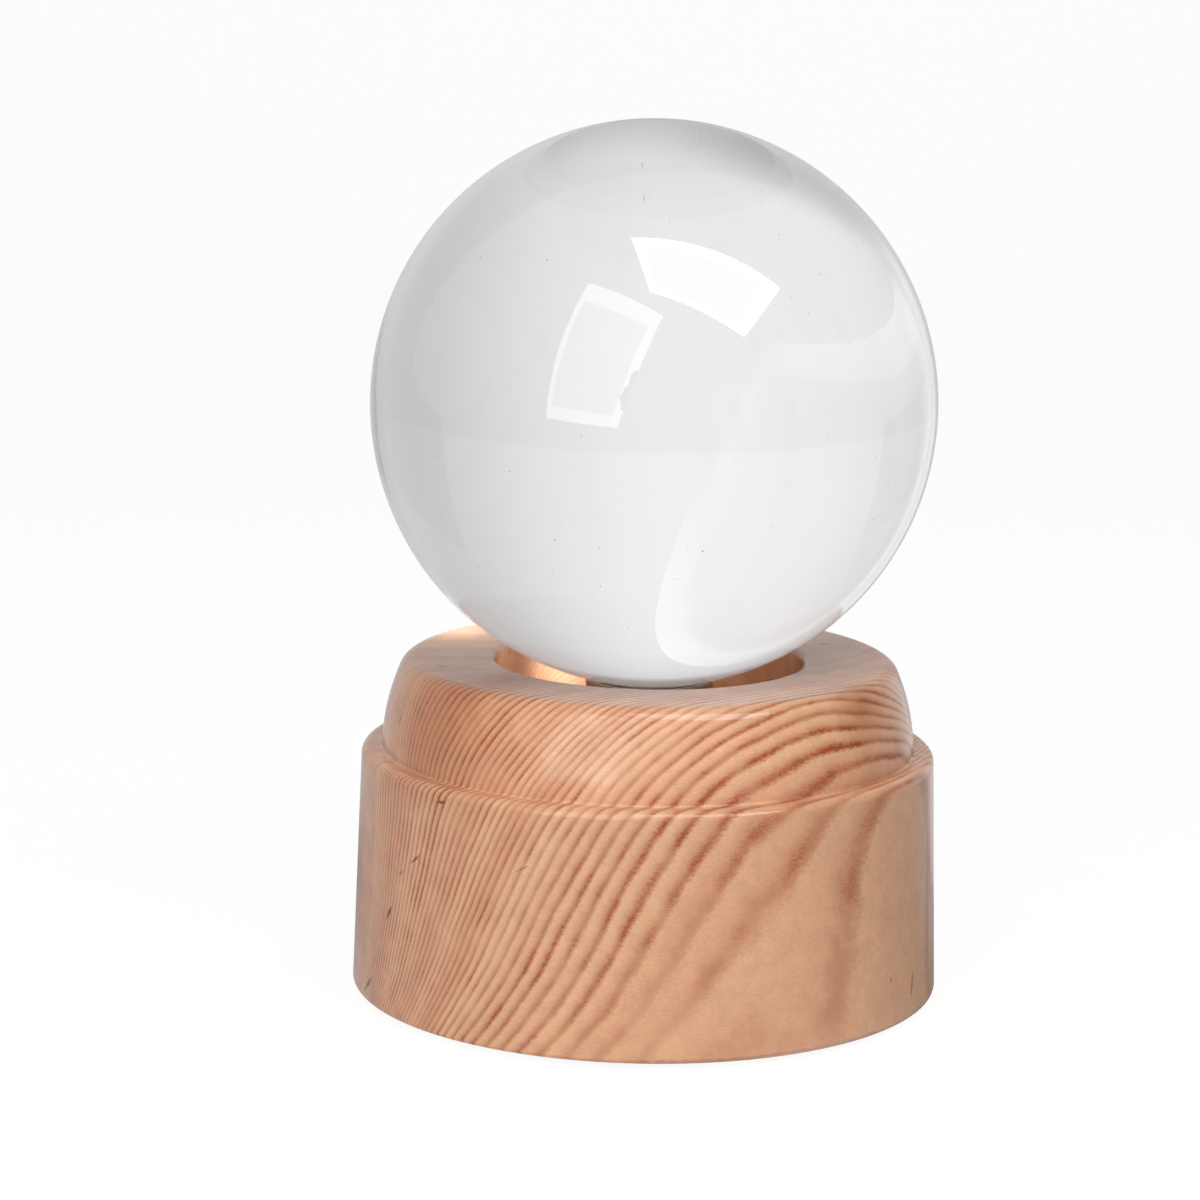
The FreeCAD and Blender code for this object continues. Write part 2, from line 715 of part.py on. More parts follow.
repeat_round(bottom_cover, hole, COVER_SCREW_COUNT)

# Countersunk cover screws, into the wood

cover_screws = keep("cover_screws", new_body("cover_screws", f"{COVER_FOOT} + cover_head_sink"))
screw = turn_solid(cover_screws, [
    ("0", "cover_bit_depth"),
    ("cover_bit_radius", "cover_bit_depth"),
    ("cover_bit_radius", "0"),
    ("cover_head_radius", "0"),
    ("cover_head_radius", "cover_head_rim"),
    ("cover_screw_radius", "cover_head_rim + cover_head_radius - cover_screw_radius"),
    ("cover_screw_radius", "cover_screw_length - cover_screw_point"),
    ("0", "cover_screw_length"),
], off_axis=COVER_SCREW_CIRCLE)
repeat_round(cover_screws, screw, COVER_SCREW_COUNT)

# Rubber feet, glued into their seats in the cover

feet = keep("rubber_feet", new_body("rubber_feet"))
shape = push_solid(feet, four_round("foot_radius", FOOT_CIRCLE),
                   f"{COVER_FOOT} + foot_let_in")
soften_rings(feet, shape, [("foot_radius", "0")], "foot_round")


# Driver board on the standoffs, with its screws and its components

def on_driver(name, across_share="0", up_share="0", lift=DRIVER_TOP):
    """A body whose origin is a place on the driver board, by shares of its length and width."""
    body = new_body(name, lift)
    bind(body, "Placement.Base.x", f"driver_length * ({across_share})")
    bind(body, "Placement.Base.y", f"driver_width * ({up_share}) - driver_forward")
    return body


driver_board = keep("driver_board", on_driver("driver_board", lift=DRIVER_FOOT))
outline = box_corners("-driver_length / 2", "-driver_width / 2",
                      "driver_length / 2", "driver_width / 2")
shape = push_solid(driver_board, lambda sketch: draw_outline(sketch, outline), "driver_thickness")
soften(driver_board, shape, upright_edges(shape), "driver_corner_round")
push_solid(driver_board, two_round("small_screw_radius + screw_hole_play"),
           "driver_thickness + overrun * 2", lift="-overrun", cut=True)

driver_screws = small_screws("driver_screws", DRIVER_TOP, STANDOFF_REACH, overturned=True)
bind(driver_screws, "Placement.Base.y", "-driver_forward")
keep("driver_screws", driver_screws)

driver_chip = keep("driver_chip", on_driver("driver_chip", "chip_across_share", "chip_up_share"))
outline = box_corners("-chip_length / 2", "-chip_width / 2", "chip_length / 2", "chip_width / 2")
shape = push_solid(driver_chip, lambda sketch: draw_outline(sketch, outline),
                   "chip_height", lift="chip_lift")
top_edges = [f"Edge{number}" for number, edge in enumerate(shape.Shape.Edges, 1)
             if abs(edge.CenterOfMass.z - value("chip_lift + chip_height")) < value("same_place")]
soften(driver_chip, shape, top_edges, "chip_chamfer", chamfer=True)
FOOT_START = "(chip_width / 2 + leg_reach / 2)"
FOOT_END = "(chip_width / 2 + leg_reach)"
UPRIGHT = f"({FOOT_START} + leg_thickness)"
right_half = [
    (FOOT_START, "leg_rise - leg_thickness"),
    (FOOT_START, "0"),
    (FOOT_END, "0"),
    (FOOT_END, "leg_thickness"),
    (UPRIGHT, "leg_thickness"),
    (UPRIGHT, "leg_rise"),
]
left_half = [(f"-{across}", up) for across, up in reversed(right_half)]
leg = push_solid(driver_chip, lambda sketch: draw_outline(sketch, right_half + left_half),
                 "leg_width", plane="YZ_Plane",
                 lift=f"-leg_pitch * {(LEG_COUNT - 1) / 2} - leg_width / 2")
row_of_legs = driver_chip.newObject("PartDesign::LinearPattern", "leg_row")
row_of_legs.Originals = [leg]
row_of_legs.Direction = (leg.Profile[0], ["N_Axis"])
bind(row_of_legs, "Length", f"leg_pitch * {LEG_COUNT - 1}")
row_of_legs.Occurrences = LEG_COUNT
driver_chip.Tip = row_of_legs
doc.recompute()

driver_can = keep("driver_capacitor",
                  on_driver("driver_capacitor", "can_across_share", "can_up_share"))
shape = turn_solid(driver_can, [
    ("0", "0"),
    ("can_radius", "0"),
    ("can_radius", "can_crimp_height - can_crimp_depth"),
    ("can_radius - can_crimp_depth", "can_crimp_height"),
    ("can_radius", "can_crimp_height + can_crimp_depth"),
    ("can_radius", "can_height"),
    ("0", "can_height"),
])
soften_rings(driver_can, shape, [("can_radius", "can_height")], "can_top_round")

resistors = keep("driver_resistors",
                 on_driver("driver_resistors", "resistor_across_share", "resistor_up_share"))
outline = box_corners("0", "-resistor_length / 2", "resistor_width", "resistor_length / 2")
chip_part = push_solid(resistors, lambda sketch: draw_outline(sketch, outline), "resistor_height")
row_of_parts = resistors.newObject("PartDesign::LinearPattern", "resistor_row")
row_of_parts.Originals = [chip_part]
row_of_parts.Direction = (chip_part.Profile[0], ["H_Axis"])
bind(row_of_parts, "Length", f"resistor_pitch * {RESISTOR_COUNT - 1}")
row_of_parts.Occurrences = RESISTOR_COUNT
resistors.Tip = row_of_parts
doc.recompute()


# What the two stations share: washer, hexagonal nut and solder lugs, in the station's own frame

def add_washer(name, turn, barrel_radius):
    """A flat washer against the inside of the wooden panel."""
    washer = keep(name, new_body(name, STATION_CENTRE, turn))
    inner = f"({barrel_radius} + thread_play)"
    turn_solid(washer, [
        (inner, f"{PANEL_INNER} - washer_thickness"),
        (f"{inner} + washer_rim", f"{PANEL_INNER} - washer_thickness"),
        (f"{inner} + washer_rim", PANEL_INNER),
        (inner, PANEL_INNER),
    ], plane="XY_Plane")


def add_nut(name, turn, barrel_radius):
    """A hexagonal nut on the barrel, tight against its washer, its outer corners chamfered."""
    nut = keep(name, new_body(name, STATION_CENTRE, turn))
    inner = f"({barrel_radius} + thread_play)"
    flat = f"({inner} + nut_wall)"
    half_side = f"({flat} / sqrt(3))"
    corners = [(flat, f"-{half_side}"), (flat, half_side), ("0", f"2 * {half_side}"),
               (f"-{flat}", half_side), (f"-{flat}", f"-{half_side}"), ("0", f"-2 * {half_side}")]

    def draw(sketch):
        draw_outline(sketch, corners)
        draw_circle(sketch, "0", "0", inner)
    face = f"({PANEL_INNER} - washer_thickness)"
    push_solid(nut, draw, "nut_thickness", plane="XZ_Plane", lift=f"-{face}")
    back = f"({face} - nut_thickness)"
    corner = f"(2 * {half_side})"
    turn_solid(nut, [
        (f"{corner} - nut_chamfer * 2", f"{back} - overrun"),
        (f"{corner} + overrun", f"{back} - overrun"),
        (f"{corner} + overrun", f"{back} + nut_chamfer + overrun / 2"),
        (f"{corner} - nut_chamfer * 2", back),
    ], plane="XY_Plane", cut=True)


def draw_lug(reach):
    """Draws a flat lug that runs inwards from this reach, with an eye near its end."""
    end = f"({reach} - lug_length)"

    def draw(sketch):
        draw_outline(sketch, box_corners("-lug_width / 2", end, "lug_width / 2", reach))
        draw_circle(sketch, "0", f"{end} + lug_width / 2", "lug_hole_radius")
    return draw


def add_lugs(body, reach):
    """Two lugs, one above and one below the station's axis."""
    lug = push_solid(body, draw_lug(reach), "lug_thickness",
                     lift="lug_spacing / 2 - lug_thickness / 2")
    mirror(body, [lug], "XY_Plane")


# Power inlet at the back: flanged, threaded barrel with its bore, centre pin and leaf contact

inlet = keep("inlet_body", new_body("inlet_body", STATION_CENTRE, JACK_TURN))
shape = turn_solid(inlet, [
    ("jack_pin_radius", JACK_TAIL),
    ("jack_barrel_radius", JACK_TAIL),
    ("jack_barrel_radius", PANEL_OUTER),
    ("jack_flange_radius", PANEL_OUTER),
    ("jack_flange_radius", JACK_FRONT),
    ("jack_mouth_radius", JACK_FRONT),
    ("jack_mouth_radius", JACK_FLOOR),
    ("jack_pin_radius", JACK_FLOOR),
], plane="XY_Plane")
shape = soften_rings(inlet, shape, [("jack_flange_radius", JACK_FRONT)],
                     "jack_flange_chamfer", chamfer=True, along="y")
soften_rings(inlet, shape, [("jack_mouth_radius", JACK_FRONT)],
             "jack_mouth_chamfer", chamfer=True, along="y")

inlet_pin = keep("inlet_pin", new_body("inlet_pin", STATION_CENTRE, JACK_TURN))
PIN_TIP = f"({JACK_FRONT} - jack_pin_recess)"
shape = turn_solid(inlet_pin, [
    ("0", JACK_TAIL),
    ("jack_pin_radius", JACK_TAIL),
    ("jack_pin_radius", PIN_TIP),
    ("0", PIN_TIP),
], plane="XY_Plane")
soften_rings(inlet_pin, shape, [("jack_pin_radius", PIN_TIP)], "jack_pin_round", along="y")

inlet_leaf = keep("inlet_contact", new_body("inlet_contact", STATION_CENTRE, JACK_TURN))
LEAF_SEAT = "sqrt(jack_mouth_radius ^ 2 - (leaf_width / 2) ^ 2)"
LEAF_TIP = f"({JACK_FRONT} - leaf_tip_short)"
LEAF_MIDDLE = f"(({JACK_FLOOR} + {LEAF_TIP}) / 2)"
leaf_side = [
    (JACK_FLOOR, f"{LEAF_SEAT} - leaf_thickness"),
    (LEAF_MIDDLE, f"{LEAF_SEAT} - leaf_thickness - leaf_bow"),
    (LEAF_TIP, f"{LEAF_SEAT} - leaf_thickness"),
    (LEAF_TIP, LEAF_SEAT),
    (LEAF_MIDDLE, f"{LEAF_SEAT} - leaf_bow"),
    (JACK_FLOOR, LEAF_SEAT),
]
push_solid(inlet_leaf, lambda sketch: draw_outline(sketch, leaf_side), "leaf_width",
           plane="YZ_Plane", both_ways=True)

inlet_lugs = keep("inlet_lugs", new_body("inlet_lugs", STATION_CENTRE, JACK_TURN))
add_lugs(inlet_lugs, JACK_TAIL)
add_washer("inlet_washer", JACK_TURN, "jack_barrel_radius")
add_nut("inlet_nut", JACK_TURN, "jack_barrel_radius")


# Push switch beside it: flanged barrel, insulating base with two contacts, and the moving button

switch_body = keep("switch_body", new_body("switch_body", STATION_CENTRE, SWITCH_TURN))
LIP_RADIUS = "(button_radius + button_play)"
shape = turn_solid(switch_body, [
    ("switch_cavity_radius", SWITCH_TAIL),
    ("switch_barrel_radius", SWITCH_TAIL),
    ("switch_barrel_radius", PANEL_OUTER),
    ("switch_flange_radius", PANEL_OUTER),
    ("switch_flange_radius", SWITCH_FRONT),
    (LIP_RADIUS, SWITCH_FRONT),
    (LIP_RADIUS, SWITCH_LIP),
    ("switch_cavity_radius", SWITCH_LIP),
], plane="XY_Plane")
soften_rings(switch_body, shape, [("switch_flange_radius", SWITCH_FRONT)],
             "switch_flange_chamfer", chamfer=True, along="y")

switch_base = keep("switch_base", new_body("switch_base", STATION_CENTRE, SWITCH_TURN))
BASE_RADIUS = "(switch_cavity_radius - switch_base_play)"
turn_solid(switch_base, [
    ("0", SWITCH_TAIL),
    (BASE_RADIUS, SWITCH_TAIL),
    (BASE_RADIUS, SWITCH_FLOOR),
    ("0", SWITCH_FLOOR),
], plane="XY_Plane")


def two_contacts(sketch):
    """Draws the two contact rods, one above and one below the station's axis."""
    for up in ("lug_spacing / 2", "-lug_spacing / 2"):
        draw_circle(sketch, "0", up, "switch_contact_radius")


push_solid(switch_base, two_contacts, "switch_base_thickness + overrun * 2",
           plane="XZ_Plane", lift=f"-({SWITCH_FLOOR} + overrun)", cut=True)

contacts = keep("switch_contacts", new_body("switch_contacts", STATION_CENTRE, SWITCH_TURN))
CONTACT_TOP = f"({STEM_END} - plate_thickness - button_travel - contact_play)"
add_lugs(contacts, SWITCH_TAIL)
push_solid(contacts, two_contacts, f"{CONTACT_TOP} - {SWITCH_TAIL}",
           plane="XZ_Plane", lift=f"-{CONTACT_TOP}")
add_washer("switch_washer", SWITCH_TURN, "switch_barrel_radius")
add_nut("switch_nut", SWITCH_TURN, "switch_barrel_radius")

button = keep("push_button", new_body("push_button", STATION_CENTRE, SWITCH_TURN))
BUTTON_TIP = f"({SWITCH_FRONT} + button_proud)"
BUTTON_CROWN = "(button_crown_radius - sqrt(button_crown_radius ^ 2 - button_radius ^ 2))"
shape = turn_solid(button, [
    ("0", STEM_END),
    ("stem_radius", STEM_END),
    ("stem_radius", COLLAR_BACK),
    ("collar_radius", COLLAR_BACK),
    ("collar_radius", COLLAR_FRONT),
    ("button_radius", COLLAR_FRONT),
    ("button_radius", f"{BUTTON_TIP} - {BUTTON_CROWN}", "button_crown_radius", 1),
    ("0", BUTTON_TIP),
], plane="XY_Plane")
soften_rings(button, shape, [("button_radius", f"{BUTTON_TIP} - {BUTTON_CROWN}")],
             "button_round", along="y")

plate = keep("contact_plate", new_body("contact_plate", STATION_CENTRE, SWITCH_TURN))
turn_solid(plate, [
    ("0", f"{STEM_END} - plate_thickness"),
    ("plate_radius", f"{STEM_END} - plate_thickness"),
    ("plate_radius", STEM_END),
    ("0", STEM_END),
], plane="XY_Plane")


# Wire shapes: the switch spring and the insulated leads, swept along arcs and straight runs

def tangent_arc(start, corner, end):
    """The arc from start to end that touches both lines to a corner at an equal distance."""
    chord_middle = (start + end) / 2
    towards = corner - chord_middle
    half = (end - start).Length / 2
    quarter_turn = math.atan2(towards.Length, half) / 2
    middle = chord_middle + towards.normalize() * half * math.tan(quarter_turn)
    return Part.Arc(start, middle, end).toShape()


def sweep_round(edges, radius, start, heading):
    """A round wire swept along a run of tangent edges that starts with this heading."""
    ring = Part.Wire(Part.makeCircle(radius, start, heading))
    return Part.Wire(edges).makePipeShell([ring], True, False)


def helix_edges(radius, low, high, turns):
    """A helix about the Y axis. Each quarter turn is a pair of arcs that meet in one heading."""
    rise = (high - low) / (2 * math.pi * turns)

    def place(angle):
        return FreeCAD.Vector(radius * math.cos(angle), low + rise * angle, -radius * math.sin(angle))

    def heading(angle):
        way = FreeCAD.Vector(-radius * math.sin(angle), rise, -radius * math.cos(angle))
        return way.normalize()
    edges = []
    for step in range(turns * 4):
        first, last = step * math.pi / 2, (step + 1) * math.pi / 2
        start, end, out, back = place(first), place(last), heading(first), heading(last)
        run = end - start
        square = 2 * (out.dot(back) - 1)
        both = -2 * run.dot(out + back)
        reach = (-both - math.sqrt(both ** 2 - 4 * square * run.dot(run))) / (2 * square)
        near, far = start + out * reach, end - back * reach
        joint = (near + far) / 2
        edges += [tangent_arc(start, near, joint), tangent_arc(joint, far, end)]
    return edges, place(0), heading(0)


spring = keep("switch_spring", doc.addObject("Part::Feature", "switch_spring"))
SPRING_END = "(spring_wire_radius + spring_end_play)"
spring_low = value(f"{SWITCH_FLOOR} + {SPRING_END}")
spring_high = value(f"{COLLAR_BACK} - {SPRING_END}")
spring_edges, spring_start, spring_heading = helix_edges(
    value("spring_radius"), spring_low, spring_high, SPRING_TURN_COUNT)
spring.Shape = sweep_round(spring_edges, value("spring_wire_radius"), spring_start, spring_heading)
bind(spring, "Placement.Base.z", STATION_CENTRE)
bind(spring, "Placement.Rotation.Angle", SWITCH_TURN)
coil_gap = (spring_high - spring_low) / SPRING_TURN_COUNT - value("spring_wire_radius * 2")
print(f"switch_spring: least gap between turns {coil_gap:.2f} mm")


def station_place(turn, reach, height):
    """A point on a station's upright middle plane, in the lamp's frame."""
    angle = math.radians(value(turn))
    return FreeCAD.Vector(-value(reach) * math.sin(angle), value(reach) * math.cos(angle),
                          value(f"{STATION_CENTRE} + {height}"))


def inwards(turn, distance):
    """A run from a station towards the lamp's axis."""
    angle = math.radians(value(turn))
    return FreeCAD.Vector(math.sin(angle), -math.cos(angle), 0) * value(distance)


def place_in_pocket(across_share, up_share, height_share):
    """A point inside the base, by shares of the pocket's radius and height."""
    return FreeCAD.Vector(value(POCKET_RADIUS) * across_share, value(POCKET_RADIUS) * up_share,
                          value(WOOD_FOOT) + value(POCKET_HEIGHT) * height_share)


def add_lead(name, points):
    """An insulated lead along straight runs joined by arcs as large as the runs allow."""
    radius = value("lead_radius")
    bends, edges, here = [], [], points[0]
    for before, corner, after in zip(points, points[1:], points[2:]):
        arrive, leave = corner - before, after - corner
        reach = min(arrive.Length, leave.Length) * 0.45
        bends.append(reach / math.tan(arrive.getAngle(leave) / 2))
        start = corner - arrive.normalize() * reach
        end = corner + leave.normalize() * reach
        edges += [Part.makeLine(here, start), tangent_arc(start, corner, end)]
        here = end
    edges.append(Part.makeLine(here, points[-1]))
    lead = keep(name, doc.addObject("Part::Feature", name))
    lead.Shape = sweep_round(edges, radius, points[0], points[1] - points[0])
    length = sum(edge.Length for edge in edges)
    ratio = lead.Shape.Volume / (math.pi * radius ** 2 * length)
    print(f"{name}: length {length:.1f}, least bend {min(bends):.1f}, volume ratio {ratio:.4f}")


def pad_place(across, up):
    """A solder pad on the driver board, near the corner that these signs name."""
    return FreeCAD.Vector(across * value("driver_length / 2 - lead_pad_inset"),
                          up * value("driver_width / 2 - lead_pad_inset") - value("driver_forward"),
                          value(DRIVER_TOP))


up_run = FreeCAD.Vector(0, 0, value("lead_rise"))
INLET_LUG_END = f"{JACK_TAIL} - lug_length"
SWITCH_LUG_END = f"{SWITCH_TAIL} - lug_length"
lead_over_shares = {"side": 0.40, "back": 0.31, "height": 0.58}
lead_down_shares = {"side": 0.41, "back": 0.06, "height": 0.60}

for name, turn, end, side in (("lead_inlet_black", JACK_TURN, INLET_LUG_END, -1),
                              ("lead_switch_red", SWITCH_TURN, SWITCH_LUG_END, 1)):
    lug_end = station_place(turn, end, "-lug_spacing / 2")
    pad = pad_place(side, 1)
    vias = [place_in_pocket(side * share["side"], share["back"], share["height"])
            for share in (lead_over_shares, lead_down_shares)]
    add_lead(name, [lug_end, lug_end + inwards(turn, "lead_exit"), *vias, pad + up_run, pad])

inlet_end = station_place(JACK_TURN, INLET_LUG_END, "lug_spacing / 2")
switch_end = station_place(SWITCH_TURN, SWITCH_LUG_END, "lug_spacing / 2")
lead_bow_shares = (0, 0.46, 0.60)
add_lead("lead_inlet_red", [
    inlet_end,
    inlet_end + inwards(JACK_TURN, "lead_exit"),
    place_in_pocket(*lead_bow_shares),
    switch_end + inwards(SWITCH_TURN, "lead_exit"),
    switch_end,
])

led_pad_share = 0.6
for name, side in (("lead_led_black", -1), ("lead_led_red", 1)):
    pad = pad_place(side, -1)
    led_reach = value("led_board_radius") * led_pad_share
    led_pad = FreeCAD.Vector(side * led_reach, -led_reach, value(LED_BOARD_FOOT))
    add_lead(name, [pad, pad + up_run, led_pad - up_run, led_pad])


# Every object must be sound before anything is written

doc.recompute()
for thing in doc.Objects:
    if {"Invalid", "Error"} & set(thing.State):
        raise RuntimeError(f"{thing.Label} did not build: {thing.State}")
for piece in pieces:
    if piece.Shape.isNull() or not piece.Shape.isValid() or not piece.Shape.Solids:
        raise RuntimeError(f"{piece.Label} has no sound solid")

os.makedirs("parts", exist_ok=True)
for piece in pieces:
    piece.Shape.exportStep(f"parts/{piece.Label}.step")
print(len(pieces), "pieces written")
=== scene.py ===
import math

import bmesh
import bpy
import numpy as np
from mathutils import Matrix, Vector


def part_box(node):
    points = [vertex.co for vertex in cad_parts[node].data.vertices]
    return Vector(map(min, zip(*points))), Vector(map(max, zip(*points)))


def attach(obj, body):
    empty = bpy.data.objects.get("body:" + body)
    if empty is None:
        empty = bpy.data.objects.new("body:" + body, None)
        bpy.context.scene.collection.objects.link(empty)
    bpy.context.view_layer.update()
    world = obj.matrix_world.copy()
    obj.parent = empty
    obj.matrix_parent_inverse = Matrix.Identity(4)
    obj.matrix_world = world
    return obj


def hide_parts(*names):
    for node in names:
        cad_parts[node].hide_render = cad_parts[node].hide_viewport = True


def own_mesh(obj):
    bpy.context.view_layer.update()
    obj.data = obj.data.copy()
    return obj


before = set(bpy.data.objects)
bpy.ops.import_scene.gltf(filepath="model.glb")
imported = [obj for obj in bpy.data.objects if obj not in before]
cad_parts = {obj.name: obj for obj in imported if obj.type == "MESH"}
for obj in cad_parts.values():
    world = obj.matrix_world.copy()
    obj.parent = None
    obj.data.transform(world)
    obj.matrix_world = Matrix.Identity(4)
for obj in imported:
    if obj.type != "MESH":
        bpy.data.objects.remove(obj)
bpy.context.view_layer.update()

# Crystal ball lamp: a clear glass ball on a turned wooden post, in the well of a stepped pine base.
# Lengths in this file are metres unless a name ends in MM or a comment says millimetres. Front is
# -Y and up is +Z.

# Studio: a white paper sweep that runs up behind the lamp, drawn as a profile carried along X.
# The camera sees the paper as white with the lamp's soft shadow on it. Through the glass and in
# the lacquer it is a pale grey, dimmer towards the right, as the room there is darker.

SWEEP_HALF_WIDTH = 3.0
SWEEP_FRONT, SWEEP_BACK = -3.0, 1.05
SWEEP_BEND, SWEEP_BEND_STEPS = 0.01, 24
SWEEP_HEIGHT = 0.52
# The paper as it lights the lamp, then as the camera sees it: a grey that takes the shadow, under a
# white glow.
PAPER, PAPER_SEEN, PAPER_GLOW = "#E4E4E6", "#606060", 0.93
ROOM_TINT = "#FDFDFF"
ROOM_BRIGHT, ROOM_DIM = 0.905, 0.59
# Mirrored in the lacquer or on the glass, the room has this share of the tone that it has through
# the glass. A bright window low down behind the lamp on the right is mirrored there too.
GLOSS_SHARE, WINDOW_SHARE = 0.75, 1.45
WINDOW_LEFT, WINDOW_RIGHT, WINDOW_EDGE, WINDOW_TOP = 0.36, 0.66, 0.10, 0.20
# The dimmer side starts and ends at these parts of the way from straight back, 0, to the right, 1.
# The far left, the far right and the ceiling take these shares of the tone.
DIM_FROM, DIM_TO = -0.08, 0.72
LEFT_FROM, LEFT_TO, LEFT_SHARE = -0.45, -0.75, 0.93
RIM_FROM, RIM_TO, RIM_SHARE = 0.86, 1.0, 0.55
CEILING_FROM, CEILING_TO, CEILING_SHARE = 0.86, 0.91, 0.35
# Dark gear stands far out to the right, low down, and draws the thin line at the glass's left rim.
# It starts this far round, this far out from the lamp and under this slope of the view.
GEAR_FROM, GEAR_TO, GEAR_SHARE = 0.937, 0.949, 0.22
GEAR_NEAR, GEAR_FAR, GEAR_TOP, GEAR_OVER = 0.20, 0.30, 0.22, 0.34
# Below this height on the backdrop the paper lies flat and is a little duller.
FLOOR_LINE, FLOOR_SHARE = 0.0526, 0.965
# The paper is a little duller in front of a bowed line behind the lamp, which lies at
# y = start + slant x + bow x2.
NEAR_DULL_SHARE = 0.955
NEAR_DULL_START, NEAR_DULL_SLANT, NEAR_DULL_BOW = 0.118, 0.27, 1.6
# The bowed line and the edge of the flat paper are out of focus by this much either way.
SOFT_EDGE = 0.003
# The lamp's own shadow just behind it, as the glass shows it.
SHADOW_PLACE = (-0.045, 0.060, 0.0)
SHADOW_FROM, SHADOW_TO, SHADOW_SHARE = 0.012, 0.075, 0.62


def linear(colour):
    """An sRGB hex colour as linear red, green, blue and a full alpha."""
    shares = [int(colour[place:place + 2], 16) / 255 for place in (1, 3, 5)]
    return [s / 12.92 if s <= 0.04045 else ((s + 0.055) / 1.055) ** 2.4 for s in shares] + [1.0]


def grid_mesh(name, points, around=False):
    """A mesh from a grid of points, rows by columns, with a quad in each cell of the grid.
    With around, the last column joins the first."""
    rows, columns = points.shape[:2]
    low, left = np.meshgrid(np.arange(rows - 1), np.arange(columns if around else columns - 1),
                            indexing="ij")
    right = (left + 1) % columns
    corners = [low * columns + left, low * columns + right, (low + 1) * columns + right,
               (low + 1) * columns + left]
    faces = np.stack(corners, axis=-1).reshape(-1, 4)
    mesh = bpy.data.meshes.new(name)
    mesh.from_pydata(points.reshape(-1, 3).tolist(), [], faces.tolist())
    mesh.polygons.foreach_set("use_smooth", np.ones(len(faces), bool))
    piece = bpy.data.objects.new(name, mesh)
    bpy.context.scene.collection.objects.link(piece)
    return piece


def new_finish(name):
    """An empty material with all its nodes cleared, ready for add_node."""
    finish = bpy.data.materials.new(name)
    finish.use_nodes = True
    finish.node_tree.nodes.clear()
    return finish


def add_node(tree, kind, inputs=None, **settings):
    """One shader node. Settings are the node's own, and inputs are sockets to link or values."""
    node = tree.nodes.new("ShaderNode" + kind)
    for setting, choice in settings.items():
        setattr(node, setting, choice)
    for place, source in (inputs or {}).items():
        if isinstance(source, bpy.types.NodeSocket):
            tree.links.new(source, node.inputs[place])
        else:
            node.inputs[place].default_value = source
    return node


def room_tone(tree, heading):
    """Brightness of the room in a direction: even from the left round to the back, then dimmer
    towards the right, with dark gear at the far right, a dark ceiling, and a bright window where
    the room is mirrored."""
    reach = add_node(tree, "VectorMath", {0: heading}, operation="LENGTH")
    heading = add_node(tree, "VectorMath", {0: heading}, operation="NORMALIZE")
    parts = add_node(tree, "SeparateXYZ", {0: heading.outputs[0]})
    ceiling = add_node(tree, "MapRange", {"Value": parts.outputs["Z"], "From Min": CEILING_FROM,
                                          "From Max": CEILING_TO, "To Min": 1.0,
                                          "To Max": CEILING_SHARE})
    level = add_node(tree, "CombineXYZ", {0: parts.outputs["X"], 1: parts.outputs["Y"]})
    level = add_node(tree, "VectorMath", {0: level.outputs[0]}, operation="NORMALIZE")
    side = add_node(tree, "SeparateXYZ", {0: level.outputs[0]}).outputs["X"]
    wide = add_node(tree, "MapRange", {"Value": side, "From Min": DIM_FROM, "From Max": DIM_TO,
                                       "To Min": ROOM_BRIGHT, "To Max": ROOM_DIM},
                    interpolation_type="SMOOTHSTEP")
    rim = add_node(tree, "MapRange", {"Value": side, "From Min": RIM_FROM, "From Max": RIM_TO,
                                      "To Min": 1.0, "To Max": RIM_SHARE})
    left = add_node(tree, "MapRange", {"Value": side, "From Min": LEFT_FROM,
                                       "From Max": LEFT_TO, "To Min": 1.0,
                                       "To Max": LEFT_SHARE})
    gear = add_node(tree, "MapRange", {"Value": side, "From Min": GEAR_FROM, "From Max": GEAR_TO})
    out = add_node(tree, "MapRange", {"Value": reach.outputs["Value"], "From Min": GEAR_NEAR,
                                      "From Max": GEAR_FAR})
    under = add_node(tree, "MapRange", {"Value": parts.outputs["Z"], "From Min": GEAR_TOP,
                                        "From Max": GEAR_OVER, "To Min": 1.0, "To Max": 0.0})
    for share in (out, under):
        gear = add_node(tree, "Math", {0: gear.outputs[0], 1: share.outputs[0]},
                        operation="MULTIPLY")
    gear = add_node(tree, "MapRange", {"Value": gear.outputs[0], "To Min": 1.0,
                                       "To Max": GEAR_SHARE})
    tone = wide
    for share in (rim, left, ceiling, gear):
        tone = add_node(tree, "Math", {0: tone.outputs[0], 1: share.outputs[0]},
                        operation="MULTIPLY")
    path = add_node(tree, "LightPath")
    window = add_node(tree, "MapRange", {"Value": side, "From Min": WINDOW_LEFT,
                                         "From Max": WINDOW_LEFT + WINDOW_EDGE,
                                         "To Min": GLOSS_SHARE, "To Max": WINDOW_SHARE})
    for value, start in ((side, WINDOW_RIGHT), (parts.outputs["Z"], WINDOW_TOP)):
        window = add_node(tree, "MapRange", {"Value": value, "From Min": start,
                                             "From Max": start + WINDOW_EDGE,
                                             "To Min": window.outputs[0],
                                             "To Max": GLOSS_SHARE})
    dull = add_node(tree, "MapRange", {"Value": path.outputs["Is Transmission Ray"],
                                       "To Min": window.outputs[0], "To Max": 1.0})
    return add_node(tree, "Math", {0: tone.outputs[0], 1: dull.outputs[0]},
                    operation="MULTIPLY").outputs[0]


def seen_clearly(tree):
    """1 for what glass and lacquer show the camera, 0 for light on its way to a matt surface."""
    path = add_node(tree, "LightPath")
    clear = add_node(tree, "Math", {0: path.outputs["Is Glossy Ray"],
                                    1: path.outputs["Is Transmission Ray"]}, operation="MAXIMUM")
    return add_node(tree, "Math", {0: clear.outputs[0], 1: path.outputs["Diffuse Depth"]},
                    operation="SUBTRACT", use_clamp=True).outputs[0]


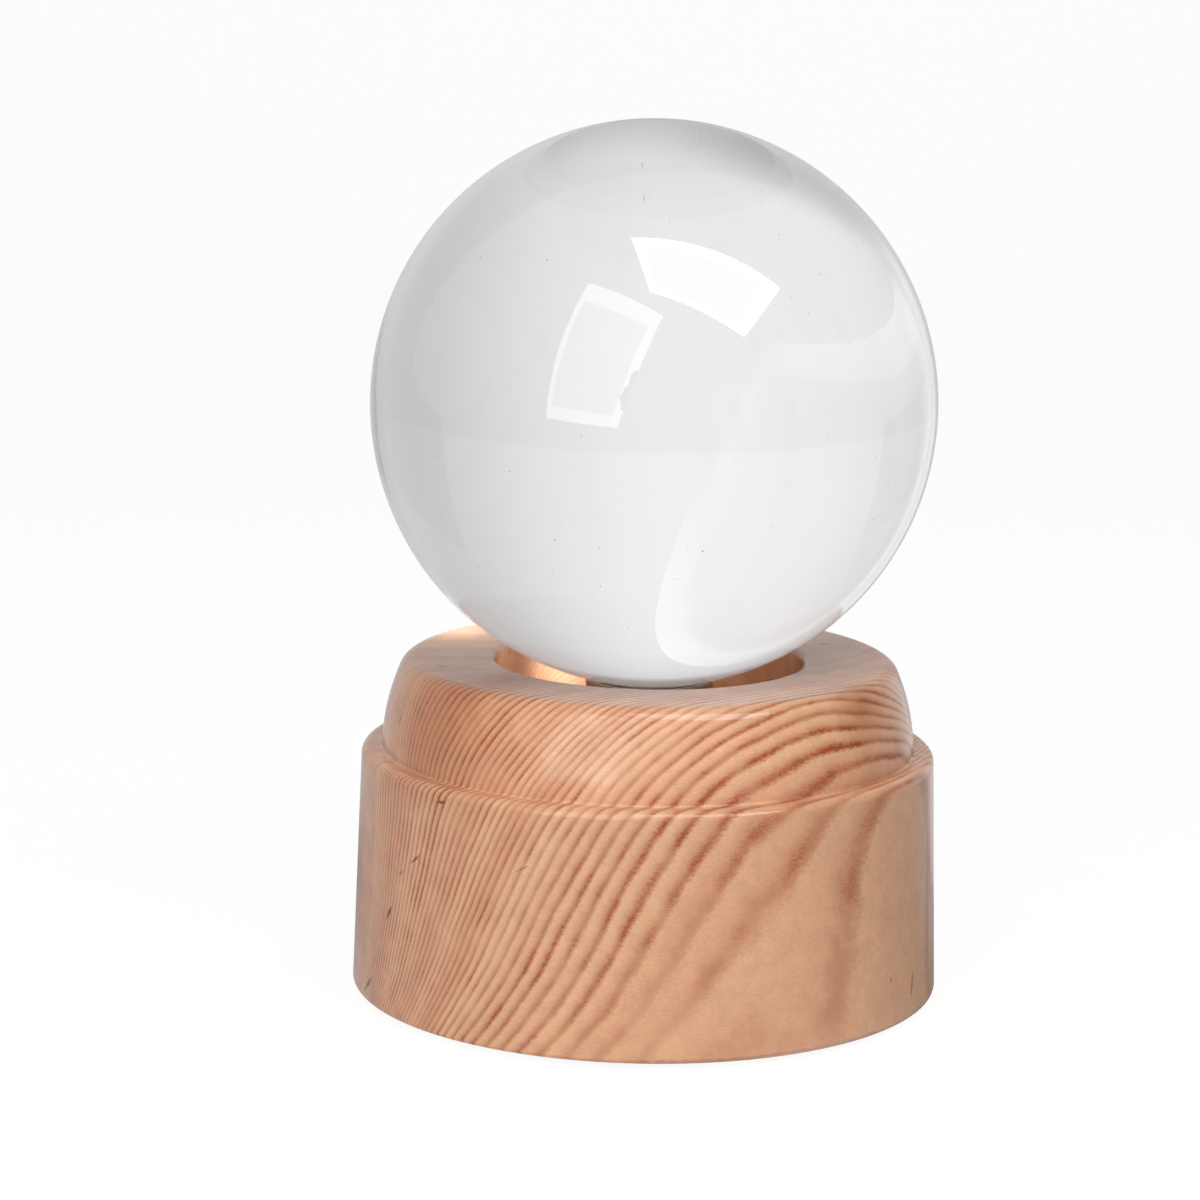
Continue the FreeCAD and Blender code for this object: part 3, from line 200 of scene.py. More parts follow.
bend = np.linspace(0, math.pi / 2, SWEEP_BEND_STEPS)
y = np.concatenate([[SWEEP_FRONT], SWEEP_BACK - SWEEP_BEND * (1 - np.sin(bend)), [SWEEP_BACK]])
z = np.concatenate([[0], SWEEP_BEND * (1 - np.cos(bend)), [SWEEP_HEIGHT]])
x = np.linspace(-SWEEP_HALF_WIDTH, SWEEP_HALF_WIDTH, 2)
points = np.stack(np.broadcast_arrays(x[None, :], y[:, None], z[:, None]), axis=-1)
paper = grid_mesh("paper_sweep", points)
paper_finish = new_finish("white_paper")
tree = paper_finish.node_tree
plain = add_node(tree, "BsdfDiffuse", {"Color": linear(PAPER)})
shaded = add_node(tree, "BsdfDiffuse", {"Color": linear(PAPER_SEEN)})
glow = add_node(tree, "Emission", {"Color": linear("#FFFFFF"), "Strength": PAPER_GLOW})
seen = add_node(tree, "AddShader", {0: shaded.outputs[0], 1: glow.outputs[0]})
place = add_node(tree, "TexCoord").outputs["Object"]
spot = add_node(tree, "SeparateXYZ", {0: place}).outputs
floor = add_node(tree, "MapRange", {"Value": spot["Z"], "From Min": FLOOR_LINE - SOFT_EDGE,
                                    "From Max": FLOOR_LINE + SOFT_EDGE, "To Min": FLOOR_SHARE,
                                    "To Max": 1.0})
reach = add_node(tree, "VectorMath", {0: place, 1: SHADOW_PLACE}, operation="DISTANCE")
shadow = add_node(tree, "MapRange", {"Value": reach.outputs["Value"], "From Min": SHADOW_FROM,
                                     "From Max": SHADOW_TO, "To Min": SHADOW_SHARE,
                                     "To Max": 1.0}, interpolation_type="SMOOTHSTEP")
# The paper in front of the bowed line behind the lamp is a little duller.
bowed = add_node(tree, "Math", {0: spot["X"], 1: NEAR_DULL_BOW, 2: NEAR_DULL_SLANT},
                 operation="MULTIPLY_ADD")
edge = add_node(tree, "Math", {0: spot["X"], 1: bowed.outputs[0], 2: NEAR_DULL_START},
                operation="MULTIPLY_ADD")
past = add_node(tree, "Math", {0: spot["Y"], 1: edge.outputs[0]}, operation="SUBTRACT")
near_dull = add_node(tree, "MapRange", {"Value": past.outputs[0], "From Min": -SOFT_EDGE,
                                    "From Max": SOFT_EDGE, "To Min": NEAR_DULL_SHARE,
                                    "To Max": 1.0})
bright = room_tone(tree, place)
for share in (floor, shadow, near_dull):
    bright = add_node(tree, "Math", {0: bright, 1: share.outputs[0]},
                      operation="MULTIPLY").outputs[0]
through = add_node(tree, "Emission", {"Color": linear(ROOM_TINT), "Strength": bright})
path = add_node(tree, "LightPath")
unseen = add_node(tree, "MixShader", {0: seen_clearly(tree), 1: plain.outputs[0],
                                      2: through.outputs[0]})
mixed = add_node(tree, "MixShader", {0: path.outputs["Is Camera Ray"], 1: unseen.outputs[0],
                                     2: seen.outputs[0]})
add_node(tree, "OutputMaterial", {"Surface": mixed.outputs[0]})
paper.data.materials.append(paper_finish)

# Soft boxes: a large one above on the right and a tall one in front on the left, whose
# reflections show in the ball. Each is a flat quad of light with a brighter frame.

BOX_ABOVE = [(-0.151, -0.257, 1.078), (0.686, -0.257, 0.780), (0.546, -0.657, 0.598),
             (-0.037, -0.603, 0.837)]
BOX_LEFT = [(-0.415, -0.499, 0.894), (0.047, -0.766, 0.766), (-0.246, -0.986, 0.050),
            (-0.697, -0.770, 0.084)]
# Each box: how strongly it lights matt surfaces, then how bright its frame and its cloth show
# in a reflection.
BOXES = [("soft_box_above", BOX_ABOVE, 4.45, 9.0, 3.9), ("soft_box_left", BOX_LEFT, 3.5, 4.1, 2.35)]
# Seen through the glass a box is dimmer, but for its lower and right edges, where light leaks
# past the cloth.
CLEAR_SHARE = 0.32
LEAK_FROM, LEAK_DOWN, LEAK_RIGHT = 0.80, 0.5, 1.4
# The right edge is sharp and bright near the top of the box and fades into the room lower down.
FADE_FROM, FADE_TO, FADE_WIDTH, FADE_TONE = 0.25, 0.55, 0.20, 0.75
# Frame widths as shares of the box: left, right, top and bottom. A frame has faded into the cloth
# at this many times its width.
FRAMES = (0.06, 0.10, 0.13, 0.09)
FRAME_FADE = 1.25
# Where a stand hides part of the left box, its right edge shows a wavy bite.
BITE_FROM, BITE_TO, BITE_DEPTH = 0.50, 0.84, 0.09
BITE_WAVES, BITE_ROUNDNESS = 9.0, 0.45
BOX_STEPS = 12


def quad_points(corners, steps):
    """Points spread over a quad by mixing its four corners by two shares, across and down."""
    first, second, third, fourth = np.array(corners)
    across, down = np.meshgrid(np.linspace(0, 1, steps), np.linspace(0, 1, steps))
    across, down = across[..., None], down[..., None]
    return (first * (1 - across) + second * across) * (1 - down) + (
        fourth * (1 - across) + third * across) * down


for name, corners, lights, frame_shine, cloth_shine in BOXES:
    box = grid_mesh(name, quad_points(corners, BOX_STEPS))
    shares = np.stack(np.meshgrid(np.linspace(0, 1, BOX_STEPS), np.linspace(0, 1, BOX_STEPS)),
                      axis=-1)
    corner_vertices = np.empty(len(box.data.loops), int)
    box.data.loops.foreach_get("vertex_index", corner_vertices)
    layer = box.data.uv_layers.new(name="panel")
    layer.uv.foreach_set("vector", shares.reshape(-1, 2)[corner_vertices].ravel())
    box_finish = new_finish(name + "_cloth")
    tree = box_finish.node_tree
    place = add_node(tree, "UVMap", uv_map="panel")
    across, down = add_node(tree, "SeparateXYZ", {0: place.outputs[0]}).outputs[:2]
    cloth = 1.0
    for share, width, far in ((across, FRAMES[0], False), (across, FRAMES[1], True),
                              (down, FRAMES[2], False), (down, FRAMES[3], True)):
        edge, full = (1 - width, 1 - width * FRAME_FADE) if far else (width, width * FRAME_FADE)
        inside = add_node(tree, "MapRange", {"Value": share, "From Min": edge, "From Max": full})
        cloth = add_node(tree, "Math", {0: cloth, 1: inside.outputs[0]},
                         operation="MULTIPLY").outputs[0]
    shine = add_node(tree, "MapRange", {"Value": cloth, "To Min": frame_shine,
                                        "To Max": cloth_shine})
    path = add_node(tree, "LightPath")
    clear, glossy = [
        add_node(tree, "Math", {0: path.outputs[kind], 1: path.outputs["Diffuse Depth"]},
                 operation="SUBTRACT", use_clamp=True).outputs[0]
        for kind in ("Is Transmission Ray", "Is Glossy Ray")]
    lower = add_node(tree, "MapRange", {"Value": down, "From Min": FADE_FROM,
                                        "From Max": FADE_TO})
    soft = add_node(tree, "MapRange", {"Value": across, "From Min": 1.0,
                                       "From Max": 1 - FADE_WIDTH}, interpolation_type="SMOOTHSTEP")
    kept = add_node(tree, "Mix", {0: lower.outputs[0], 2: 1.0, 3: soft.outputs[0]})
    leaks = []
    for share, leak in ((down, LEAK_DOWN), (across, LEAK_RIGHT)):
        near = add_node(tree, "MapRange", {"Value": share, "From Min": LEAK_FROM,
                                           "To Max": leak}, interpolation_type="SMOOTHSTEP")
        leaks.append(near.outputs[0])
    leak = add_node(tree, "Math", {0: leaks[0], 1: leaks[1]}, operation="MAXIMUM")
    through = add_node(tree, "Math", {0: shine.outputs[0], 1: CLEAR_SHARE, 2: leak.outputs[0]},
                       operation="MULTIPLY_ADD")
    through = add_node(tree, "Mix", {0: kept.outputs[0], 2: FADE_TONE, 3: through.outputs[0]})
    strength = add_node(tree, "Mix", {0: glossy, 2: lights, 3: shine.outputs[0]})
    if name == "soft_box_left":
        wave = add_node(tree, "TexNoise", {"W": down, "Scale": BITE_WAVES, "Detail": 1.0},
                        noise_dimensions="1D")
        bite = add_node(tree, "MapRange", {"Value": down, "From Min": BITE_FROM,
                                           "From Max": BITE_TO})
        hump = add_node(tree, "Math", {0: bite.outputs[0], 1: math.pi}, operation="MULTIPLY")
        hump = add_node(tree, "Math", {0: hump.outputs[0]}, operation="SINE")
        hump = add_node(tree, "Math", {0: hump.outputs[0], 1: BITE_ROUNDNESS},
                        operation="POWER")
        depth = add_node(tree, "Math", {0: wave.outputs["Fac"], 1: hump.outputs[0]},
                         operation="MULTIPLY")
        edge = add_node(tree, "Math", {0: depth.outputs[0], 1: -2 * BITE_DEPTH, 2: 1.0},
                        operation="MULTIPLY_ADD")
        bare = add_node(tree, "Math", {0: across, 1: edge.outputs[0]}, operation="LESS_THAN")
        strength = add_node(tree, "Math", {0: strength.outputs[0], 1: bare.outputs[0]},
                            operation="MULTIPLY")
    strength = add_node(tree, "Mix", {0: clear, 2: strength.outputs[0], 3: through.outputs[0]})
    emission = add_node(tree, "Emission", {"Strength": strength.outputs[0]})
    add_node(tree, "OutputMaterial", {"Surface": emission.outputs[0]})
    box.data.materials.append(box_finish)
    box.visible_camera = False

# Lens lights: the ball gathers the light of the boxes into bright patches behind it on the left,
# on the wall of the well and on the back of the top. Two small hidden lamps stand in for that.

# Each lamp: place, the point it is aimed at, its two sides, its spread in degrees and its watts.
LENS_LIGHTS = [("lens_light_well", (-0.0130, -0.0140, 0.0445), (-0.0130, 0.0175, 0.0430),
                (0.003, 0.003), 20, 0.00030),
               ("lens_light_top", (-0.0290, 0.0205, 0.0565), (-0.0290, 0.0205, 0.0480),
                (0.007, 0.013), 120, 0.0012)]

for name, lamp_place, lamp_aim, sides, spread, watts in LENS_LIGHTS:
    lens_data = bpy.data.lights.new(name, "AREA")
    lens_data.shape = "RECTANGLE"
    lens_data.size, lens_data.size_y = sides
    lens_data.energy = watts
    lens_data.spread = math.radians(spread)
    lens_light = bpy.data.objects.new(name, lens_data)
    bpy.context.scene.collection.objects.link(lens_light)
    lens_light.location = lamp_place
    aim = Vector(lamp_aim) - Vector(lamp_place)
    lens_light.rotation_euler = aim.to_track_quat("-Z", "Y").to_euler()
    lens_light.visible_camera = False
    lens_light.visible_glossy = False
    lens_light.visible_transmission = False

# Room light: even and slightly cool for matt surfaces, white for the camera, and for glass and
# lacquer a pale room that darkens towards the right.

ROOM_LIGHT = 0.10
ROOM = "#F2F4F8"

world = bpy.data.worlds.new("studio_room")
bpy.context.scene.world = world
world.use_nodes = True
tree = world.node_tree
tree.nodes.clear()
pale_room = room_tone(tree, add_node(tree, "TexCoord").outputs["Generated"])
path = add_node(tree, "LightPath")
even = add_node(tree, "Background", {"Color": linear(ROOM), "Strength": ROOM_LIGHT})
through = add_node(tree, "Background", {"Color": linear(ROOM_TINT), "Strength": pale_room})
white = add_node(tree, "Background", {"Color": linear("#FFFFFF"), "Strength": 1.0})
room = add_node(tree, "MixShader", {0: seen_clearly(tree), 1: even.outputs[0],
                                    2: through.outputs[0]})
shown = add_node(tree, "MixShader", {0: path.outputs["Is Camera Ray"], 1: room.outputs[0],
                                     2: white.outputs[0]})
add_node(tree, "OutputWorld", {"Surface": shown.outputs[0]})

# Camera: half a metre in front of the lamp and a little above it, with a long lens, as the
# photograph was taken. It looks down on the lamp and is rolled by about a degree.

CAMERA_PLACE = (0.0, -0.508366, 0.151909)
CAMERA_DOWN_DEGREES = 11.2158
CAMERA_ROLL_DEGREES = 1.0657
CAMERA_LENS_MM, CAMERA_FILM_MM = 108.745, 36.0
CAMERA_SHIFT = (-0.041528, 0.0305)

camera_data = bpy.data.cameras.new("camera")
camera = bpy.data.objects.new("camera", camera_data)
bpy.context.scene.collection.objects.link(camera)
camera_data.lens = CAMERA_LENS_MM
camera_data.sensor_width = CAMERA_FILM_MM
camera_data.shift_x, camera_data.shift_y = CAMERA_SHIFT
down, roll = math.radians(CAMERA_DOWN_DEGREES), math.radians(CAMERA_ROLL_DEGREES)
ahead = np.array([0, math.cos(down), -math.sin(down)])
upright = np.array([0, math.sin(down), math.cos(down)])
across = np.array([1.0, 0, 0])
rolled_right = across * math.cos(roll) + upright * math.sin(roll)
rolled_up = -across * math.sin(roll) + upright * math.cos(roll)
turn = np.eye(4)
turn[:3, 0], turn[:3, 1], turn[:3, 2], turn[:3, 3] = rolled_right, rolled_up, -ahead, CAMERA_PLACE
camera.matrix_world = Matrix(turn)
bpy.context.scene.camera = camera
bpy.context.scene.view_settings.view_transform = "Standard"

# Wooden base: one block of pine, turned to two tiers, sanded and sprayed with clear gloss lacquer.
# The grain runs through the whole block, so one pattern in space crosses the step without a break.

MM = 0.001
# How far a point lies across the growth rings is a cubic in its place, counted in reaches of
# 40 mm from a point half way up the block. The vectors weigh x, y, z, then their squares, the
# products yz, zx, xy, the cubes, and the mixed cubes x2y, y2z, z2x and x2z, y2x, z2y. The twist
# weighs xyz.
RING_CENTRE = (0.0, 0.0, 0.0248)
RING_REACH_MM = 40.0
RING_STRAIGHT = (0.2672, -0.9031, 0.2895)
RING_BOW = (0.2042, -0.0263, 0.0458)
RING_SKEW = (0.4068, 0.0474, 0.1859)
RING_FLARE = (0.0290, 0.1492, -0.1740)
RING_SWEEP = (0.1849, -0.0215, -0.1164)
RING_LEAN = (-0.0440, 0.2217, 0.1545)
RING_TWIST = -0.0758
# Rings are this wide up to a distance, and widen steadily beyond it.
RING_WIDTH_MM = 0.46
RING_WIDENS_FROM_MM = 21.5
RING_WIDENING = 0.077
RING_START = 0.76
# A branch once stood right of the block, and the rings bend away from it, least at the top.
BEND_FROM_MM = 18.0
BEND_PER_MM = 0.02573
BEND_DROP = 0.000313
BEND_TOP_MM = 48.0
BEND_FADE_MM = 13.0
# A ring wanders and wavers by up to half of these, in waves of these lengths. The first is in
# millimetres, the second a share of the ring's width.
WANDER_MM, WANDER = 11.0, 0.35
WAVER_MM, WAVER = 7.0, 0.26
# How dark a ring is at these shares of its width, from spring to winter.
RING_TONES = [(0.0, 0.0), (0.25, 0.07), (0.50, 0.34), (0.68, 0.82), (0.78, 0.9), (0.89, 0.5),
              (1.0, 0.0)]
# Distances where the late wood is darkest and palest, with its strength there.
LATE_STRENGTHS = [(0.0, 0.7), (8.0, 0.8), (11.8, 0.8), (12.5, 1.2), (13.5, 0.85), (15.9, 0.9),
                  (16.5, 1.2), (17.2, 0.8), (18.6, 1.0), (19.6, 0.75), (22.6, 0.9),
                  (24.6, 0.8), (27.6, 1.1), (28.8, 1.0), (30.0, 0.9), (31.1, 1.05),
                  (32.4, 0.95), (33.8, 0.7), (35.2, 0.6), (36.2, 0.3)]
# The cut fibres show as short level dashes: waves per millimetre along x, y and z, and how much
# finer the fuzz is that they leave.
FIBRE_DASH, FIBRE_ROUGHNESS = (1.3, 1.3, 3.3), 0.7
FUZZ_FINER, FUZZ_ROUGHNESS = 1.3, 0.65
# From here on, four numbers in a row turn values from the first to the second, millimetres where
# they are lengths, into shares from the third to the fourth. Wide rings have more broken edges.
BROKEN = (21.0, 31.0, 0.22, 0.40)
# The late wood's strength changes from year to year, drifts along a ring, and is patchy where the
# fibres are cut. The wide rings fade towards the foot, and the bored well shows paler lines.
YEARS = (0.0, 1.0, 0.7, 1.1)
DRIFT_MM, DRIFT = 5.0, (0.35, 0.65, 0.62, 1.2)
PATCHES = (0.32, 0.68, 0.7, 1.3)
WIDE, FOOT = (26.0, 31.0, 0.0, 1.0), (3.0, 27.0, 0.5, 1.1)
WELL = (22.05, 22.6, 0.45, 1.0)
# The early wood is paler or deeper by spells of several rings. Over both lie the shade of the
# fibre and a soft mottle. The upper tier is painted a little brighter: painted light for the extra
# light it takes from above and through the ball.
EARLY_WOOD, EARLY_WOOD_DEEP, LATE_WOOD = "#ECBA92", "#DFA681", "#A84E26"
SPELL_WAVES, SPELLS = 0.16, (0.35, 0.7, 0.0, 1.0)
SHADE = (0.25, 0.75, 0.87, 1.11)
MOTTLE_MM, MOTTLE = 2.6, (0.3, 0.7, 1.05, 0.95)
TIER_PAINTED_LIGHT = (34.0, 37.5, 1.0, 1.075)
# At two places on the shoulder of the upper tier the wood is flushed red: place, and how far the
# full flush and its fading edge reach, in millimetres.
FLUSHES = [((-27.0, -22.0, 44.0), 4.0, 18.0), ((30.0, -21.0, 46.5), 0.0, 8.5)]
FLUSH = "#DFCABA"
# Resin flecks in the drum and the top: place, half width and half length in millimetres, how far
# the fleck leans to the right in degrees, and how dark it is.
FLECKS = [((-31.6, -26.7, 24.7), 0.20, 1.10, 50, 0.9), ((-33.7, -24.1, 22.0), 0.16, 0.75, 49, 0.6),
          ((-35.5, -21.8, 15.7), 0.32, 1.10, 32, 1.0), ((-38.9, -16.2, 3.6), 0.30, 2.10, 48, 0.9),
          ((-38.0, -17.7, 7.1), 0.14, 1.15, 28, 0.5), ((-16.6, -37.8, 26.5), 0.12, 1.20, 62, 0.5),
          ((-34.7, -13.9, 41.5), 0.25, 0.95, 10, 0.6), ((-27.9, -30.1, 33.6), 0.22, 0.80, 85, 0.9),
          ((-29.1, -9.6, 48.2), 0.75, 0.40, 0, 0.45), ((25.5, 11.3, 48.2), 0.71, 0.36, 0, 0.6),
          ((21.6, 0.7, 48.2), 0.40, 0.36, 0, 0.6), ((37.7, -18.6, 5.6), 0.26, 1.90, 12, 0.7),
          ((34.3, -24.1, 7.9), 0.20, 0.40, 20, 0.6)]
# Their colour and least depth, how ragged their edge is, and where it fades out, in shares of the
# fleck's size.
FLECK, FLECK_DEEP_MM = "#6A3320", 0.4
RAGGED, FLECK_FULL, FLECK_EDGE = (0.0, 1.0, -0.7, 0.7), 0.6, 1.25
# The lacquer's skin has soft waves this long. After it come the heights of these waves, of the
# fibre that shows through the skin and of the rings under it.
PEEL_MM = 0.8
PEEL_HIGH_MM, FIBRE_HIGH_MM, RING_HIGH_MM = 0.035, 0.02, 0.05


def ring_distance(tree, place):
    """Millimetres across the growth rings at a place: the cubic given above, plus the bend, which is
    the square of how far the place lies right of its start times a rate that drops with height,
    faded out towards the top."""
    centred = add_node(tree, "VectorMath", {0: place, 1: RING_CENTRE}, operation="SUBTRACT")
    reach = add_node(tree, "VectorMath", {0: centred.outputs[0], "Scale": 1 / (RING_REACH_MM * MM)},
                     operation="SCALE").outputs[0]
    parts = add_node(tree, "SeparateXYZ", {0: reach}).outputs
    after = add_node(tree, "CombineXYZ", {0: parts[1], 1: parts[2], 2: parts[0]}).outputs[0]
    before = add_node(tree, "CombineXYZ", {0: parts[2], 1: parts[0], 2: parts[1]}).outputs[0]
    squares = add_node(tree, "VectorMath", {0: reach, 1: reach}, operation="MULTIPLY").outputs[0]
    terms = [(reach, RING_STRAIGHT), (squares, RING_BOW)]
    for first, second, weights in ((after, before, RING_SKEW), (squares, reach, RING_FLARE),
                                   (squares, after, RING_SWEEP), (squares, before, RING_LEAN)):
        product = add_node(tree, "VectorMath", {0: first, 1: second}, operation="MULTIPLY")
        terms.append((product.outputs[0], weights))
    total = parts[0]
    for factor in (parts[1], parts[2], RING_TWIST):
        total = add_node(tree, "Math", {0: total, 1: factor}, operation="MULTIPLY").outputs[0]
    for vector, weights in terms:
        term = add_node(tree, "VectorMath", {0: vector, 1: weights}, operation="DOT_PRODUCT")
        total = add_node(tree, "Math", {0: total, 1: term.outputs["Value"]},
                         operation="ADD").outputs[0]
    plain = add_node(tree, "Math", {0: total, 1: RING_REACH_MM}, operation="MULTIPLY").outputs[0]
    spots = add_node(tree, "VectorMath", {0: place, "Scale": 1 / MM}, operation="SCALE")
    spots = add_node(tree, "SeparateXYZ", {0: spots.outputs[0]}).outputs
    right = add_node(tree, "Math", {0: spots[0], 1: BEND_FROM_MM}, operation="SUBTRACT")
    right = add_node(tree, "Math", {0: right.outputs[0], 1: 0.0}, operation="MAXIMUM")
    square = add_node(tree, "Math", {0: right.outputs[0], 1: 2.0}, operation="POWER")
    rate = add_node(tree, "Math", {0: spots[2], 1: -BEND_DROP, 2: BEND_PER_MM},
                    operation="MULTIPLY_ADD")
    fade = add_node(tree, "MapRange", {"Value": spots[2], "From Min": BEND_TOP_MM - BEND_FADE_MM,
                                       "From Max": BEND_TOP_MM, "To Min": 1.0, "To Max": 0.0},
                    interpolation_type="SMOOTHSTEP")
    bend = add_node(tree, "Math", {0: square.outputs[0], 1: rate.outputs[0]},
                    operation="MULTIPLY")
    return add_node(tree, "Math", {0: bend.outputs[0], 1: fade.outputs[0], 2: plain},
                    operation="MULTIPLY_ADD").outputs[0]


def ring_number(tree, distance):
    """Rings counted from the distance: even rings up to a point, then a logarithm, because
    the width of a ring grows in step with the distance there."""
    near = add_node(tree, "Math", {0: distance, 1: RING_WIDENS_FROM_MM}, operation="MINIMUM")
    beyond = add_node(tree, "Math", {0: distance, 1: RING_WIDENS_FROM_MM}, operation="SUBTRACT")
    beyond = add_node(tree, "Math", {0: beyond.outputs[0], 1: 0.0}, operation="MAXIMUM")
    widened = add_node(tree, "Math", {0: beyond.outputs[0], 1: RING_WIDENING / RING_WIDTH_MM,
                                      2: 1.0}, operation="MULTIPLY_ADD")
    logarithm = add_node(tree, "Math", {0: widened.outputs[0], 1: math.e}, operation="LOGARITHM")
    far = add_node(tree, "Math", {0: logarithm.outputs[0], 1: 1 / RING_WIDENING},
                   operation="MULTIPLY")
    whole = add_node(tree, "Math", {0: near.outputs[0], 1: 1 / RING_WIDTH_MM,
                                    2: far.outputs[0]}, operation="MULTIPLY_ADD")
    return add_node(tree, "Math", {0: whole.outputs[0], 1: RING_START},
                    operation="ADD").outputs[0]


def shifted(tree, value, noise, amount):
    """The value plus the amount times the noise less a half."""
    centred = add_node(tree, "Math", {0: noise, 1: 0.5}, operation="SUBTRACT")
    return add_node(tree, "Math", {0: centred.outputs[0], 1: amount, 2: value},
                    operation="MULTIPLY_ADD").outputs[0]


def wood_finish(name, early, early_deep, late, flecks=()):
    """Lacquered softwood: pale early wood, narrow reddish late wood, a fuzzy fibre, and a
    clear gloss coat that makes soft highlights on the rounded edges."""
    finish = new_finish(name)
    tree = finish.node_tree
    place = add_node(tree, "TexCoord").outputs["Object"]
    millimetres = add_node(tree, "VectorMath", {0: place, "Scale": 1 / MM},
                           operation="SCALE").outputs[0]
    dashes = add_node(tree, "VectorMath", {0: millimetres, 1: FIBRE_DASH},
                      operation="MULTIPLY").outputs[0]
    wander, waver, drift, clouds, coarse, ripple, fuzz = [
        add_node(tree, "TexNoise", {"Vector": vector, "Scale": waves, "Detail": detail,
                                    "Roughness": roughness}).outputs["Fac"]
        for vector, waves, detail, roughness in (
            (millimetres, 1 / WANDER_MM, 1.0, 0.5), (millimetres, 1 / WAVER_MM, 2.0, 0.5),
            (millimetres, 1 / DRIFT_MM, 2.0, 0.5), (millimetres, 1 / MOTTLE_MM, 2.0, 0.5),
            (millimetres, 1 / PEEL_MM, 3.0, 0.5), (dashes, 1.0, 3.0, FIBRE_ROUGHNESS),
            (dashes, FUZZ_FINER, 3.0, FUZZ_ROUGHNESS))]
    distance = shifted(tree, ring_distance(tree, place), wander, WANDER)
    broken = add_node(tree, "MapRange", dict(enumerate((distance, *BROKEN)))).outputs[0]
    rings = shifted(tree, ring_number(tree, distance), ripple, broken)
    rings = shifted(tree, rings, waver, WAVER)
    share = add_node(tree, "Math", {0: rings}, operation="FRACT")
    span = LATE_STRENGTHS[-1][0]
    along = add_node(tree, "Math", {0: distance, 1: 1 / span}, operation="MULTIPLY")
    ramps = []
    for value, end, tones in ((share, 1.0, RING_TONES), (along, span, LATE_STRENGTHS)):
        ramps.append(add_node(tree, "ValToRGB", {"Fac": value.outputs[0]}))
        stops = ramps[-1].color_ramp.elements
        for tone in tones[1:-1]:
            stops.new(tone[0] / end)
        for stop, (position, grey) in zip(stops, tones):
            stop.position, stop.color = position / end, (grey, grey, grey, 1)
    line, strength = ramps
    whole = add_node(tree, "Math", {0: rings}, operation="FLOOR").outputs[0]
    year = add_node(tree, "TexWhiteNoise", {"W": whole}, noise_dimensions="1D")
    spell = add_node(tree, "TexNoise", {"W": rings, "Scale": SPELL_WAVES, "Detail": 1.0},
                     noise_dimensions="1D")
    height = add_node(tree, "SeparateXYZ", {0: millimetres}).outputs["Z"]
    level = add_node(tree, "VectorMath", {0: millimetres, 1: (1, 1, 0)}, operation="MULTIPLY")
    out = add_node(tree, "VectorMath", {0: level.outputs[0]}, operation="LENGTH")
    yearly, fading, patchy, wide, foot, bored, deep, shade, mottle, tier_light, ragged = [
        add_node(tree, "MapRange", dict(enumerate((value, *numbers)))).outputs[0]
        for value, numbers in (
            (year.outputs["Value"], YEARS), (drift, DRIFT), (fuzz, PATCHES), (distance, WIDE),
            (height, FOOT), (out.outputs["Value"], WELL), (spell.outputs["Fac"], SPELLS),
            (fuzz, SHADE), (clouds, MOTTLE), (height, TIER_PAINTED_LIGHT), (fuzz, RAGGED))]
    foot = add_node(tree, "Mix", {0: wide, 2: 1.0, 3: foot}).outputs[0]
    dark = strength
    for share in (yearly, fading, foot, bored, line.outputs[0], patchy):
        dark = add_node(tree, "Math", {0: dark.outputs[0], 1: share}, operation="MULTIPLY")
    dark.use_clamp = True
    pale = add_node(tree, "Mix", {0: deep, 6: linear(early), 7: linear(early_deep)},
                    data_type="RGBA")
    colour = add_node(tree, "Mix", {0: dark.outputs[0], 6: pale.outputs[2], 7: linear(late)},
                      data_type="RGBA")
    # Painted light: the upper tier is brightened for the light it takes from above and through the
    # ball.
    for share in (mottle, tier_light):
        shade = add_node(tree, "Math", {0: shade, 1: share}, operation="MULTIPLY").outputs[0]
    colour = add_node(tree, "VectorMath", {0: colour.outputs[2], "Scale": shade},
                      operation="SCALE").outputs[0]
    for spot, full, edge in FLUSHES:
        away = add_node(tree, "VectorMath", {0: millimetres, 1: spot}, operation="DISTANCE")
        flush = add_node(tree, "MapRange", {"Value": away.outputs["Value"], "From Min": full,
                                            "From Max": edge, "To Min": 1.0, "To Max": 0.0},
                         interpolation_type="SMOOTHSTEP")
        flush = add_node(tree, "Mix", {0: flush.outputs[0], 6: linear("#FFFFFF"),
                                       7: linear(FLUSH)}, data_type="RGBA")
        colour = add_node(tree, "VectorMath", {0: colour, 1: flush.outputs[2]},
                          operation="MULTIPLY").outputs[0]
